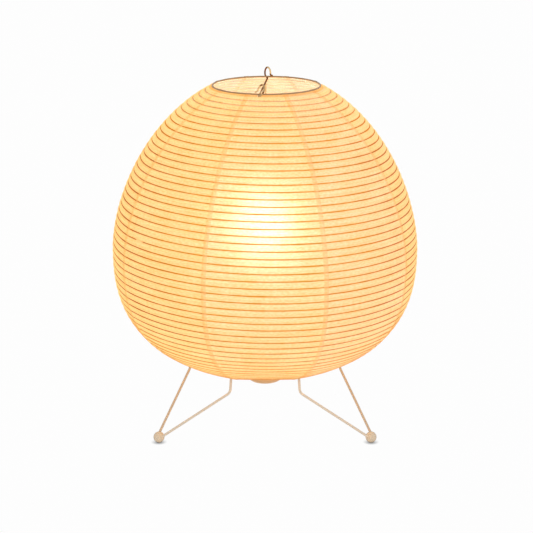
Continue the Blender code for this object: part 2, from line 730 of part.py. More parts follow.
holder_base()
holder_insert()
screw_shell()
centre_contact()
shell_section = tube_outline(HOLDER_RADIUS, SHELL_BORE, BASE_HIGH + GAP, CAP_SHELL_HIGH)
turned("holder_shell", shell_section, PHENOLIC, ROUND_FACETS, True)


# Bulb, on an empty that stands on the thread's axis

bulb_axis = bpy.data.objects.new("bulb_axis", None)
bulb_axis.location = (0.0, 0.0, BULB_LOW)
lamp.objects.link(bulb_axis)


def bulb_piece(name, outline, material, facets=SMALL_FACETS, closed=False):
    """A turned piece of the bulb, with heights given above the floor."""
    lowered = [(r, z - BULB_LOW) for r, z in outline]
    item = turned(name, lowered, material, facets, closed)
    item.parent = bulb_axis
    return item


def globe_outline():
    """The globe's outer half section from the crown down to the end of the neck."""
    crown_steps = 6
    flare_steps = 5
    outline = []
    for step in range(crown_steps + 1):
        angle = pi / 2 * step / crown_steps
        outline.append((GLOBE_RADIUS * sin(angle), GLOBE_HEIGHT + GLOBE_RADIUS * cos(angle)))
    flare = GLOBE_HEIGHT - CAP_SHELL_HIGH
    for step in range(1, flare_steps + 1):
        share = step / flare_steps
        radius = NECK_RADIUS + (GLOBE_RADIUS - NECK_RADIUS) * (1 + cos(pi * share)) / 2
        outline.append((radius, GLOBE_HEIGHT - flare * share))
    outline.append((NECK_RADIUS, CAP_SHELL_LOW + CAP_SHELL_WALL + GAP))
    return outline


globe = bulb_piece("bulb_globe", globe_outline(), OPAL_GLASS, GLOBE_FACETS)
glass = globe.modifiers.new("glass", "SOLIDIFY")
glass.thickness = GLASS
glass.offset = -1.0
glass.use_even_offset = True

CAP_SHELL_BORE = CAP_SHELL_RADIUS - CAP_SHELL_WALL
CAP_SHELL_MOUTH = CAP_SHELL_BORE * 0.75
bulb_piece("bulb_cap", [
    (CAP_SHELL_RADIUS, CAP_SHELL_HIGH), (CAP_SHELL_RADIUS, CAP_SHELL_LOW), (CAP_SHELL_MOUTH, CAP_SHELL_LOW),
    (CAP_SHELL_MOUTH, CAP_SHELL_LOW + CAP_SHELL_WALL), (CAP_SHELL_BORE, CAP_SHELL_LOW + CAP_SHELL_WALL),
    (CAP_SHELL_BORE, CAP_SHELL_HIGH)], BRASS, ROUND_FACETS, True)
insulator_high = INSULATOR_LOW + INSULATOR_HEIGHT
bulb_piece("bulb_insulator", [
    (0.0, insulator_high), (CAP_SHELL_BORE, insulator_high), (CONTACT_RADIUS + GLASS, INSULATOR_LOW),
    (0.0, INSULATOR_LOW)], BLACK_GLASS)
bulb_piece("bulb_contact", [
    (0.0, BULB_LOW + CONTACT_HEIGHT), (CONTACT_RADIUS, BULB_LOW + CONTACT_HEIGHT),
    (CONTACT_RADIUS, BULB_LOW + CONTACT_HEIGHT / 2), (CONTACT_RADIUS / 2, BULB_LOW),
    (0.0, BULB_LOW)], BRASS)

MOUNT_LOW = CAP_SHELL_LOW + CAP_SHELL_WALL + GAP
MOUNT_FLARE = (NECK_RADIUS - GLASS) * cos(pi / GLOBE_FACETS) - GAP
MOUNT_PLATE = MOUNT_LOW + 2 * GLASS
bulb_piece("bulb_stem", [
    (0.0, GLOBE_HEIGHT - GLOBE_RADIUS / 2), (MOUNT_ROD_RADIUS, GLOBE_HEIGHT - GLOBE_RADIUS / 2),
    (MOUNT_ROD_RADIUS, MOUNT_PLATE + NECK_RADIUS), (2 * MOUNT_ROD_RADIUS, MOUNT_PLATE),
    (MOUNT_FLARE, MOUNT_PLATE), (MOUNT_FLARE, MOUNT_LOW), (0.0, MOUNT_LOW)], CLEAR_GLASS)


def filament_line():
    """A glowing loop: up from the stem's plate, over the rod, and down again."""
    foot = MOUNT_PLATE + GAP - BULB_LOW
    bow = GLOBE_HEIGHT - BULB_LOW
    line = [Vector((FILAMENT_SPREAD, 0.0, foot))]
    for step in range(2 * BEND_STEPS + 1):
        angle = pi * step / (2 * BEND_STEPS)
        line.append(Vector((FILAMENT_SPREAD * cos(angle), 0.0, bow + FILAMENT_SPREAD * sin(angle))))
    line.append(Vector((-FILAMENT_SPREAD, 0.0, foot)))
    return line


filament = wire("bulb_filament", filament_line(), FILAMENT_RADIUS, FILAMENT_COAT)
filament.parent = bulb_axis

for item in lamp.objects:
    if item.type == "MESH":
        item.data.shade_smooth()
        item.data.set_sharp_from_angle(angle=radians(35))
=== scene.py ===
from math import atan2, cos, floor, pi, radians, sin, tan

import bmesh
import bpy
import numpy as np
from bpy.props import FloatProperty, FloatVectorProperty, IntProperty, PointerProperty
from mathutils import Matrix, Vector


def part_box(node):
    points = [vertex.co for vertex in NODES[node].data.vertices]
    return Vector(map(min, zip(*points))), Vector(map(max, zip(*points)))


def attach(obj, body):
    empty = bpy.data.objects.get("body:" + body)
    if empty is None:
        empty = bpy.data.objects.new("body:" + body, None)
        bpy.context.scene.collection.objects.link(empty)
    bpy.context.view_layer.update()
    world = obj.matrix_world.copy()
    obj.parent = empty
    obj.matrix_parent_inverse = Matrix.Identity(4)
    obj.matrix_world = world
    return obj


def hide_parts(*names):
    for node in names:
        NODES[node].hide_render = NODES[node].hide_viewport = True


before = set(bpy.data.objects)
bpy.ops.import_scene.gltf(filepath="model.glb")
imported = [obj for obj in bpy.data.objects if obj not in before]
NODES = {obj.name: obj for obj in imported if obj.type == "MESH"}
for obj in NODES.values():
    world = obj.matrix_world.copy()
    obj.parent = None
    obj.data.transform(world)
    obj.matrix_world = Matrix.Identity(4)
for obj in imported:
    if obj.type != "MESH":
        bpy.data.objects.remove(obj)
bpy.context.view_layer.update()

bl_info = {
    "name": "Paper lantern table lamp",
    "version": (1, 0, 0),
    "blender": (4, 5, 0),
    "location": "3D View > Sidebar > Lantern",
    "description": "Dresses the packed lamp in lit paper, bamboo, enamelled wire and glass",
    "category": "Add Mesh",
}

TURN = 2 * pi
MM = 0.001


# Settings

def number(name, description, default, **kind):
    """A setting that is a number, plain or of a kind of its own."""
    return FloatProperty(name=name, description=description, default=default, **kind)


def metres(name, description, default):
    """A setting that is a length."""
    return number(name, description, default, unit="LENGTH")


def degrees(name, description, default):
    """A setting that is an angle, given in degrees."""
    return number(name, description, radians(default), subtype="ANGLE")


def watts(name, description, default):
    """A setting that is a light's power."""
    return number(name, description, default, unit="POWER")


def rgb(name, description, *default):
    """A setting that is a colour."""
    return FloatVectorProperty(name=name, description=description, default=default, subtype="COLOR", size=3,
                               min=0.0, max=1.0)


class ShadeSettings(bpy.types.PropertyGroup):
    """Sizes and colours of the paper shade and its rib"""
    belly_radius: metres("Belly radius", "Outer radius of the paper at its widest", 0.240)
    belly_height: metres("Belly height", "Height of the widest part above the table", 0.2929)
    crown_reach: metres("Crown reach", "How far the upper half would rise to close over the axis", 0.274)
    crown_squareness: number("Crown squareness", "Exponent of the upper half's profile", 1.7275)
    keel_reach: metres("Keel reach", "How far the lower half would drop to close under the axis", 0.2055)
    keel_squareness: number("Keel squareness", "Exponent of the lower half's profile", 2.58)
    top_edge: metres("Top edge radius", "Radius of the paper's upper edge", 0.0845)
    bottom_edge: metres("Bottom edge radius", "Radius of the paper's lower edge", 0.1205)
    gores: IntProperty(name="Gores", description="Paper strips round the shade", default=8)
    flatness: number("Gore flatness", "How far each gore is drawn flat between its seams", 0.075,
                     subtype="FACTOR")
    puff: metres("Paper puff", "How far the paper swells between two turns of the rib", 0.0012)
    seam_width: metres("Seam width", "Width of the glued lap between two gores", 0.0074)
    seam_rise: metres("Seam rise", "How far the glued lap stands proud", 0.00025)
    rib_pitch: metres("Rib pitch", "Drop of the rib down the paper on each turn", 0.0109)
    rib_start: metres("Rib start", "Distance from the top edge where the rib begins", 0.0078)
    rib_end_margin: metres("Rib end margin", "Distance from the bottom edge where the rib ends", 0.0095)
    rib_droop: metres("Rib droop", "How much lower the turns sit on the right than in front", 0.0022)
    lean: number("Lean", "Sideways lean of the shade's crown, as a slope", 0.011)
    rib_radius: metres("Rib radius", "Radius of the bamboo strip", 0.0009)
    paper: rgb("Paper", "Colour of the paper by reflected light", 0.96, 0.91, 0.66)
    paper_inside: rgb("Paper inside", "Colour of the paper's inner face", 0.98, 0.95, 0.86)
    # Glow, glow strength, glow inside and halo are lamplight painted into the paper as emission; the halo is a
    # painted glow where the paper faces the eye
    glow: rgb("Glow", "Colour of the lamplight that soaks through the paper", 0.44, 0.35, 0.066)
    glow_strength: number("Glow strength", "Brightness of the lamplight in the paper", 0.84)
    glow_inside: rgb("Glow inside", "Colour of the lamplight on the paper's inner face", 0.60, 0.41, 0.27)
    halo: rgb("Halo", "Lamplight added where the paper faces the eye", 0.0, 0.10, 0.14)
    soaking: rgb("Soaking", "Colour of outside light that soaks through the paper", 1.0, 0.56, 0.20)
    bamboo: rgb("Bamboo", "Colour of the split bamboo", 1.0, 0.95, 0.80)
    # Rib shade and rib edge are painted shadow: the rib's dark line against the lamplight, deeper where the
    # paper turns from the eye
    rib_shadow: rgb("Rib shade", "Tint of the paper where the rib shows through", 0.64, 0.37, 0.01)
    rib_shadow_turned_away: rgb("Rib edge", "Tint of the rib's line where the paper turns away", 0.46, 0.14, 0.02)


class StandSettings(bpy.types.PropertyGroup):
    """Sizes and colours of the wire stand"""
    wire_radius: metres("Wire radius", "Radius of the leg wire", 0.0020)
    leg_spread: degrees("Leg spread", "Angle of each strand from its leg's middle", 33.6)
    foot_radius: metres("Foot radius", "Distance of the balls from the lamp's axis", 0.19176)
    ball_radius: metres("Ball radius", "Radius of the ball feet", 0.0086)
    knee_height: metres("Knee height", "Height where each strand bends outwards", 0.0864)
    knee_out: metres("Knee lean", "How far the strand leans out above the knee", 0.0036)
    knee_bend: metres("Knee bend", "Radius of the bend at the knee", 0.012)
    toe_bend: metres("Toe bend", "Radius of the bend inside the ball", 0.008)
    # The outer wires' tint is painted shade on the strands turned to the side
    browned: rgb("Shading", "Tint of the enamel on the outer wires", 0.84, 0.77, 0.71)
    enamel: rgb("Enamel", "Colour of the enamelled wire", 0.86, 0.74, 0.60)
    ball: rgb("Ball", "Colour of the ball feet", 0.86, 0.71, 0.53)
    cap: rgb("Cap", "Colour of the bottom cap", 0.82, 0.51, 0.245)


class StretcherSettings(bpy.types.PropertyGroup):
    """Sizes and colours of the wire stretcher and the hem rings"""
    bar_radius: metres("Bar radius", "Radius of the stretcher wire", 0.0013)
    azimuth: degrees("Azimuth", "Direction of the bar's front end", -4.6)
    loop_radius: metres("Loop radius", "Radius of the hooks over the ring", 0.0088)
    loop_skew: degrees("Loop skew", "How far each hook's plane is turned from the radius", 34)
    loop_lean: metres("Loop lean", "How far each hook leans sideways", -0.0004)
    front_lean: metres("Front lean", "How much further the front hook leans", 0.0036)
    loop_lead_in: degrees("Loop lead-in", "Turn over which the bar runs into the hook's plane", 60)
    loop_turn: degrees("Loop turn", "How far each hook turns before its tip", 272)
    tip_turn: degrees("Tip turn", "Direction of the tip from the radius", 53)
    tip_bend: metres("Tip bend", "Radius of the bend before the tip", 0.0028)
    tip_reach: metres("Tip reach", "Length of the tip beyond its bend", 0.0010)
    loop_outset: metres("Loop outset", "How far the hook's centre lies outside the ring", 0.0012)
    bar_offset: metres("Bar offset", "How far the bar is sprung to the left of the axis", 0.0029)
    upright_offset: metres("Upright offset", "Distance of the uprights from the axis", 0.046)
    wire: rgb("Wire", "Colour of the brassed wire", 0.86, 0.64, 0.34)
    # The brown tint is painted shade on the stretcher wire, where the lamp does not light it
    painted_shade_tint: rgb("Brown", "Tint of the wire where its plating has browned", 0.26, 0.12, 0.03)
    hem_wire: rgb("Hem wire", "Colour of the ring in the paper's edge", 0.40, 0.25, 0.12)


class BulbSettings(bpy.types.PropertyGroup):
    """Looks of the bulb and the lampholder"""
    warmth: rgb("Warmth", "Colour of the lamplight", 1.0, 0.84, 0.80)
    brightness: number("Brightness", "Strength of the opal glass's light", 24.0)
    thread_pitch: metres("Thread pitch", "Rise of the bulb's thread on each turn", 0.00363)
    thread_depth: metres("Thread depth", "Depth of the bulb's rolled thread", 0.0006)
    phenolic: rgb("Phenolic", "Colour of the lampholder", 0.86, 0.84, 0.78)


class StageSettings(bpy.types.PropertyGroup):
    """Camera, floor and studio light"""
    camera_distance: metres("Camera distance", "Level distance of the camera from the lamp's axis", 2.5)
    camera_height: metres("Camera height", "Height of the camera above the table", 0.967)
    camera_pitch: degrees("Camera pitch", "Downward tilt of the camera", 15.824)
    camera_lens: number("Lens", "Focal length on a 36 mm frame, in millimetres", 111.0)
    camera_shift: number("Shift", "Sideways shift of the picture", 0.0028)
    white: number("White", "Brightness of the floor and backdrop", 0.985)
    ambient: number("Ambient", "Brightness of the studio round the lamp", 0.48)
    key: watts("Key", "Power of the large front light", 19.0)
    fill: watts("Fill", "Power of the light from the right", 6.0)
    top: watts("Top", "Power of the light overhead", 9.0)
    contact: metres("Contact shadow", "Reach of the shadow round each foot", 0.0068)


class LanternSettings(bpy.types.PropertyGroup):
    """All settings of the lamp"""
    shade: PointerProperty(name="Shade", description="Paper shade and rib", type=ShadeSettings)
    stand: PointerProperty(name="Stand", description="Wire stand", type=StandSettings)
    stretcher: PointerProperty(name="Stretcher", description="Wire stretcher", type=StretcherSettings)
    bulb: PointerProperty(name="Bulb", description="Bulb and lampholder", type=BulbSettings)
    stage: PointerProperty(name="Stage", description="Camera, floor and light", type=StageSettings)


# Meshes

WELD = 0.00001
WIRE_CREASE = 50.0
CORNER_STEPS = 16


def polar(radius, azimuth, height):
    """A point at an azimuth measured from the front (-Y) towards the right (+X)."""
    return Vector((radius * sin(azimuth), -radius * cos(azimuth), height))


def round_turn(count):
    """Azimuths of points spaced evenly round one turn."""
    return [TURN * i / count for i in range(count)]


def add_piece(name, mesh, material, body, slot, *replaced):
    """Link a new piece, give it its finish, and set it on its body in place of its CAD nodes."""
    piece = bpy.data.objects.new(name, mesh)
    bpy.context.scene.collection.objects.link(piece)
    mesh.materials.append(material)
    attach(piece, body)
    if replaced:
        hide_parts(*replaced)
    return piece


def finish_nodes(material, *names):
    """Give carried-over CAD nodes their finish."""
    for name in names:
        NODES[name].material_slots[0].material = material


def smooth_mesh(solid, name):
    """A mesh from a worked solid, shaded smooth."""
    mesh = bpy.data.meshes.new(name)
    solid.to_mesh(mesh)
    solid.free()
    mesh.shade_smooth()
    return mesh


def closed_mesh(solid, name, crease=35.0):
    """A smooth mesh from a closed solid: points welded, faces turned outwards and creases kept sharp."""
    bmesh.ops.remove_doubles(solid, verts=solid.verts, dist=WELD)
    bmesh.ops.recalc_face_normals(solid, faces=solid.faces)
    mesh = smooth_mesh(solid, name)
    mesh.set_sharp_from_angle(angle=radians(crease))
    return mesh


def skin(solid, rings, closed):
    """Faces from each ring of points to the next, and from the last to the first if the skin is closed."""
    for upper, lower in zip(rings, rings[1:] + rings[:1] * closed):
        for i in range(len(upper)):
            j = (i + 1) % len(upper)
            solid.faces.new((upper[i], lower[i], lower[j], upper[j]))


def revolved(name, outline, segments, closed=False):
    """A turned mesh. The outline runs down the outer side, and back up inside if it is closed."""
    solid = bmesh.new()
    rings = [[solid.verts.new(polar(radius, turn, height)) for turn in round_turn(segments)]
             for radius, height in outline]
    skin(solid, rings, closed)
    return closed_mesh(solid, name)


def tube(name, points, radius, sides=12, cyclic=False):
    """A round wire along a chain of points, with flat ends."""
    curve = bpy.data.curves.new(name + "_path", "CURVE")
    curve.dimensions = "3D"
    curve.fill_mode = "FULL"
    curve.bevel_depth = radius
    curve.bevel_resolution = (sides - 4) // 2
    curve.use_fill_caps = True
    spline = curve.splines.new("POLY")
    spline.points.add(len(points) - 1)
    for slot, point in zip(spline.points, points):
        slot.co = (*point, 1.0)
    spline.use_cyclic_u = cyclic
    path = bpy.data.objects.new(name + "_path", curve)
    bpy.context.scene.collection.objects.link(path)
    graph = bpy.context.evaluated_depsgraph_get()
    raw = bpy.data.meshes.new_from_object(path.evaluated_get(graph))
    solid = bmesh.new()
    solid.from_mesh(raw)
    bpy.data.meshes.remove(raw)
    bpy.data.objects.remove(path)
    bpy.data.curves.remove(curve)
    return closed_mesh(solid, name, WIRE_CREASE)


def add_wire(name, points, radius, finish, slot, node, **form):
    """Bend a wire along a chain of points and set it on the lamp in place of its CAD node."""
    return add_piece(name, tube(name, points, radius, **form), finish, "lamp", slot, node)


def bent(corners, bends, steps):
    """A wire's centre line: straight runs between corners, with an arc of a set radius at each."""
    line = [Vector(corners[0])]
    for before, corner, after, bend in zip(corners, corners[1:], corners[2:], bends):
        into = (corner - before).normalized()
        out = (after - corner).normalized()
        turn = into.angle(out)
        start = corner - into * bend * tan(turn / 2)
        inward = (out - into * out.dot(into)).normalized()
        for step in range(steps + 1):
            angle = turn * step / steps
            line.append(start + into * bend * sin(angle) + inward * bend * (1 - cos(angle)))
    line.append(Vector(corners[-1]))
    return line


def turned_about_z(points, azimuth):
    """The same points, turned about the lamp's axis."""
    c, s = cos(azimuth), sin(azimuth)
    return [Vector((p.x * c - p.y * s, p.x * s + p.y * c, p.z)) for p in points]


def corner_arc(radius, floor_height, bend):
    """The round lower corner of a bowl, from its wall down to its floor."""
    angles = [pi / 2 * step / CORNER_STEPS for step in range(CORNER_STEPS + 1)]
    return [(radius - bend * (1 - cos(angle)), floor_height + bend * (1 - sin(angle))) for angle in angles]


# Node wiring

# Painted shade where a finish turns away from the eye
RIM_SHADE_SPAN = (0.45, 0.9)
RIM_SHADE_TINT = (0.4, 0.32, 0.25, 1.0)
COAT_ROUGHNESS = 0.15
FINE_FIBRES = (170.0, 560.0, 1.0)
COARSE_FIBRES = (11.0, 430.0, 1.0)
LONG_FIBRES = (26.0, 430.0, 1.0)
FIBRE_SPAN = (0.3, 0.7)
FLECK_SPAN = (0.66, 0.76)
CLOUD_SCALE = 26.0
COARSE_SHARE = 0.45
FINE_SHARE = 0.55
FINE_MOTTLE = 9.0


class Wiring:
    """Adds nodes to a tree and joins them."""

    def __init__(self, tree):
        self.tree = tree

    def add(self, kind, inputs=None, **options):
        """A node with its options set and its inputs joined or filled."""
        item = self.tree.nodes.new(kind)
        for option, value in options.items():
            setattr(item, option, value)
        return self.fill(item, inputs or {})

    def fill(self, item, inputs):
        """Join or fill a node's inputs."""
        for socket, value in inputs.items():
            self.feed(item.inputs[socket], value)
        return item

    def feed(self, socket, value):
        """Join an output to a socket, or set the socket's own value."""
        if isinstance(value, bpy.types.NodeSocket):
            self.tree.links.new(value, socket)
        else:
            socket.default_value = value

    def maths(self, operation, *values):
        """A Math node's result."""
        return self.add("ShaderNodeMath", dict(enumerate(values)), operation=operation).outputs[0]

    def times(self, first, second):
        """Two values multiplied."""
        return self.maths("MULTIPLY", first, second)

    def less(self, first, second):
        """One value less another."""
        return self.maths("SUBTRACT", first, second)

    def scaled(self, value, factor, offset):
        """A value multiplied, with another added to it."""
        return self.maths("MULTIPLY_ADD", value, factor, offset)

    def ramp(self, value, low, high, to_low=0.0, to_high=1.0):
        """A value mapped smoothly from one span to another."""
        spans = dict(enumerate((value, low, high, to_low, to_high)))
        return self.add("ShaderNodeMapRange", spans, interpolation_type="SMOOTHSTEP").outputs[0]

    def blend(self, factor, first, second, how="MIX"):
        """Two colours mixed."""
        colours = {0: factor, 6: first, 7: second}
        return self.add("ShaderNodeMix", colours, data_type="RGBA", blend_type=how).outputs[2]

    def tinted(self, colour, tint, factor=1.0):
        """A colour multiplied by a tint."""
        return self.blend(factor, colour, tint, "MULTIPLY")

    def grey(self, level):
        """A colour with one level in all its channels."""
        return self.add("ShaderNodeCombineColor", {"Red": level, "Green": level, "Blue": level}).outputs[0]

    def noise(self, vector, scale, detail=2.0, rough=0.5):
        """A noise value."""
        settings = {"Vector": vector, "Scale": scale, "Detail": detail, "Roughness": rough}
        return self.add("ShaderNodeTexNoise", settings).outputs["Fac"]

    def stretched(self, vector, scale):
        """A vector stretched by three factors."""
        return self.add("ShaderNodeVectorMath", {0: vector, 1: scale}, operation="MULTIPLY").outputs[0]

    def attribute(self, name, output="Fac"):
        """A value that is stored on the mesh."""
        return self.add("ShaderNodeAttribute", attribute_name=name).outputs[output]

    def relief(self, shader, height, distance, strength=1.0):
        """Press a height into a shader's surface."""
        bump = self.add("ShaderNodeBump", {"Height": height, "Distance": distance, "Strength": strength})
        self.feed(shader.inputs["Normal"], bump.outputs["Normal"])

    def straight_ray(self):
        """One for a ray that the eye sees straight, in a gloss or through glass, and else nought."""
        path = self.add("ShaderNodeLightPath").outputs
        straight = self.maths("MAXIMUM", path["Is Camera Ray"], path["Is Glossy Ray"])
        return self.maths("MAXIMUM", straight, path["Is Transmission Ray"])

    def surface(self, factor, first, second):
        """Show a mix of two shaders."""
        mix = self.add("ShaderNodeMixShader", {0: factor, 1: first.outputs[0], 2: second.outputs[0]})
        self.feed(self.tree.nodes["Material Output"].inputs["Surface"], mix.outputs[0])


def opaque(colour):
    """A colour with full alpha."""
    return (*colour, 1.0)


def new_group(name, inputs, outputs):
    """An empty shader node group with named sockets, and its two ends."""
    tree = bpy.data.node_groups.new(name, "ShaderNodeTree")
    for label, kind in inputs:
        tree.interface.new_socket(label, in_out="INPUT", socket_type=kind)
    for label, kind in outputs:
        tree.interface.new_socket(label, in_out="OUTPUT", socket_type=kind)
    wiring = Wiring(tree)
    return tree, wiring, wiring.add("NodeGroupInput"), wiring.add("NodeGroupOutput")


def laid_paper_group():
    """Handmade paper: speckled fibres and long ones laid along the strip, soft clouds and a few flecks."""
    tree, w, ends_in, ends_out = new_group(
        "laid_paper", [("Lay", "NodeSocketVector")],
        [("Fibre", "NodeSocketFloat"), ("Cloud", "NodeSocketFloat"), ("Fleck", "NodeSocketFloat")])
    lay = ends_in.outputs["Lay"]
    fine = w.ramp(w.noise(w.stretched(lay, FINE_FIBRES), 1.0, 1.0), *FIBRE_SPAN)
    coarse = w.ramp(w.noise(w.stretched(lay, COARSE_FIBRES), 1.0, 2.0), *FIBRE_SPAN)
    w.feed(ends_out.inputs["Fibre"], w.scaled(coarse, COARSE_SHARE, w.times(fine, FINE_SHARE)))
    w.feed(ends_out.inputs["Cloud"], w.noise(lay, CLOUD_SCALE, 3.0, 0.55))
    long_fibres = w.noise(w.stretched(lay, LONG_FIBRES), 1.0, 1.0, 0.4)
    w.feed(ends_out.inputs["Fleck"], w.ramp(long_fibres, *FLECK_SPAN))
    return tree


def mottled_group():
    """Slow changes of colour and fine changes of gloss in a worked finish."""
    tree, w, ends_in, ends_out = new_group(
        "mottled_finish",
        [("Colour", "NodeSocketColor"), ("Mottle", "NodeSocketFloat"), ("Scale", "NodeSocketFloat"),
         ("Roughness", "NodeSocketFloat"), ("Spread", "NodeSocketFloat")],
        [("Colour", "NodeSocketColor"), ("Roughness", "NodeSocketFloat"), ("Height", "NodeSocketFloat")])
    place = w.add("ShaderNodeTexCoord").outputs["Object"]
    slow = w.noise(place, ends_in.outputs["Scale"], 3.0, 0.6)
    fine = w.noise(place, w.times(ends_in.outputs["Scale"], FINE_MOTTLE), 3.0, 0.6)
    swing = w.times(w.less(slow, 0.5), ends_in.outputs["Mottle"])
    level = w.grey(w.maths("ADD", 1.0, w.times(swing, 2.0)))
    w.feed(ends_out.inputs["Colour"], w.tinted(ends_in.outputs["Colour"], level))
    shine = w.times(w.less(fine, 0.5), ends_in.outputs["Spread"])
    w.feed(ends_out.inputs["Roughness"], w.maths("ADD", ends_in.outputs["Roughness"], shine))
    w.feed(ends_out.inputs["Height"], fine)
    return tree


GROUPS = {}


def shared_group(name, build):
    """A node group, built the first time it is asked for."""
    if name not in GROUPS:
        GROUPS[name] = build()
    return GROUPS[name]


def new_material(name):
    """A material with a Principled shader, and the wiring of its nodes."""
    material = bpy.data.materials.new(name)
    material.use_nodes = True
    wiring = Wiring(material.node_tree)
    return material, wiring, material.node_tree.nodes["Principled BSDF"]


FINISHES = {}


def worked_finish(name, colour, roughness, metallic=0.0, mottle=0.06, scale=60.0, spread=0.12, bump=0.0,
                  coat=0.0, transmission=0.0, glow=None, strength=0.0, rim=0.0):
    """A finish with mottled colour, uneven gloss and a faint surface, with painted shade towards its rim when
    rim is set.
    """
    if name in FINISHES:
        return FINISHES[name]
    material, w, shader = new_material(name)
    group = w.add("ShaderNodeGroup", node_tree=shared_group("mottled_finish", mottled_group))
    w.fill(group, {"Colour": opaque(colour), "Mottle": mottle, "Scale": scale, "Roughness": roughness,
                   "Spread": spread})
    painted_rim_shade = w.ramp(w.add("ShaderNodeLayerWeight").outputs["Facing"], *RIM_SHADE_SPAN, 0.0, rim)
    w.fill(shader, {"Base Color": w.tinted(group.outputs["Colour"], RIM_SHADE_TINT, painted_rim_shade),
                    "Roughness": group.outputs["Roughness"], "Metallic": metallic, "Coat Weight": coat,
                    "Coat Roughness": COAT_ROUGHNESS, "Transmission Weight": transmission})
    if glow:
        w.fill(shader, {"Emission Color": opaque(glow), "Emission Strength": strength})
    if bump:
        w.relief(shader, group.outputs["Height"], bump)
    FINISHES[name] = material
    return material


# The paper's form

RIB_START_AZIMUTH = radians(22.5)
# Shares of the paper's length, each with the millimetres that the rib strays down the paper there
RIB_STRAY = ((0.0, -3.6), (0.034, -3.8), (0.061, -2.9), (0.131, -1.0), (0.193, 0.8), (0.306, 1.0), (0.413, 0.4),
             (0.52, 0.0), (0.69, 0.0), (0.754, 1.0), (0.83, 2.2), (0.89, 2.6), (1.0, 0.0))
LEAN_FROM = 0.065
HEM_DRAW = 0.05
HEM_DRAW_HALF = radians(22)
HEM_DRAW_SHARE = 0.2
# By a seam's place from the front in half gores: its even pull towards the front, and the pull added at the top
SEAM_PULLS = {1: (0.030, 0.13), 3: (0.075, 0.10)}
GORE_LEVEL = 0.974


class Section:
    """The paper's outer half section, read by distance down the paper from its top edge."""

    def __init__(self, shade, samples=6000):
        top = shade.belly_height + shade.crown_reach * (
            1 - (shade.top_edge / shade.belly_radius) ** 2) ** (1 / shade.crown_squareness)
        low = shade.belly_height - shade.keel_reach * (
            1 - (shade.bottom_edge / shade.belly_radius) ** 2) ** (1 / shade.keel_squareness)
        height = np.linspace(top, low, samples)
        rise = height - shade.belly_height
        upper = np.clip(rise / shade.crown_reach, 0, 1) ** shade.crown_squareness
        lower = np.clip(-rise / shade.keel_reach, 0, 1) ** shade.keel_squareness
        radius = shade.belly_radius * np.sqrt(1 - np.where(rise > 0, upper, lower))
        step = np.hypot(np.diff(radius), np.diff(height))
        self.arc = np.concatenate([[0.0], np.cumsum(step)])
        self.length = float(self.arc[-1])
        self.radius = radius
        self.height = height
        along = np.gradient(np.stack([radius, height]), self.arc, axis=1)
        along /= np.linalg.norm(along, axis=0)
        self.out_r = -along[1]
        self.out_z = along[0]

    def at(self, arc):
        """Radius, height and outward normal at a distance down the paper."""
        return [float(np.interp(arc, self.arc, column))
                for column in (self.radius, self.height, self.out_r, self.out_z)]


def rib_span(shade, section):
    """Where the rib starts and ends, as distances down the paper."""
    return shade.rib_start, section.length - shade.rib_end_margin


def rib_shift(shade, section, arc, azimuth):
    """How far the hand-wound rib strays down the paper from an even spiral."""
    share = arc / section.length
    stray = float(np.interp(share, *zip(*RIB_STRAY))) * MM
    return shade.rib_droop * sin(pi * share) * sin(azimuth) + stray


def hem_drawn(azimuth, share):
    """How the radius changes at the front of the lower hem, which is drawn in between two leg wires."""
    aside = (azimuth + pi) % TURN - pi
    across = max(0.0, 1 - (aside / HEM_DRAW_HALF) ** 2)
    return 1 - HEM_DRAW * across * max(0.0, 1 - (1 - share) / HEM_DRAW_SHARE)


def leaned(shade, point):
    """A point of the shade's crown, moved with the crown's lean."""
    rise = point.z - shade.belly_height - LEAN_FROM
    return point + Vector((shade.lean * max(0.0, rise), 0.0, 0.0))


def seam_azimuth(shade, seam, share):
    """Azimuth of a seam counted round from the front. Those in view are drawn in towards the top."""
    even = (seam - 0.5) * TURN / shade.gores
    from_front = (even + pi) % TURN - pi
    pull, draw = SEAM_PULLS.get(round(abs(from_front) * shade.gores / pi), (0.0, 0.0))
    return even - from_front * (pull + draw * (1 - share) ** 4)


def gore_flat(shade, left, right, azimuth):
    """How the paper's radius changes across a gore that is drawn a little flat between its seams."""
    return 1 + shade.flatness * (cos((right - left) / 2) / cos(azimuth - (left + right) / 2) - GORE_LEVEL)


# Paper

RIB_FADE = 0.6 * MM
RIB_LINE = (0.28 * MM, 1.5 * MM)
RIB_WOBBLE = 0.8 * MM
SPLICE = (1.286, 0.2657, 0.0)
SPLICE_STRETCH = (0.45, 1.0, 1.0)
SPLICE_SPAN = (2.5 * MM, 5.5 * MM)
SPLICE_LOSS = 0.8
LAP_BLUR = (0.35 * MM, 0.25 * MM)
TOP_HEM = (3.6 * MM, 5.2 * MM)
LOWER_HEM = (9 * MM, 6 * MM)
CROWN_END = (0.12, 0.30)
UNDERSIDE = (0.68, 0.84)
LIMB_SHADE_FACING = (0.2, 0.9)
LOWER_LIMB_SHADE_FACING = (0.70, 0.86)
LINE_FACING = (0.08, 0.6)
HALO_FACING = (0.0, 0.22)
FIBRE_DEPTH = 0.5
CLOUD_DEPTH = 0.26
GRAIN_LEVEL = 0.62
GREEN_DEPTH = 0.5
BLUE_DEPTH = 1.3
LINE_LOST_INSIDE = 0.95
LINE_LOST_IN_LAP = 0.4
LINE_TURNED = (0.7, 0.3)
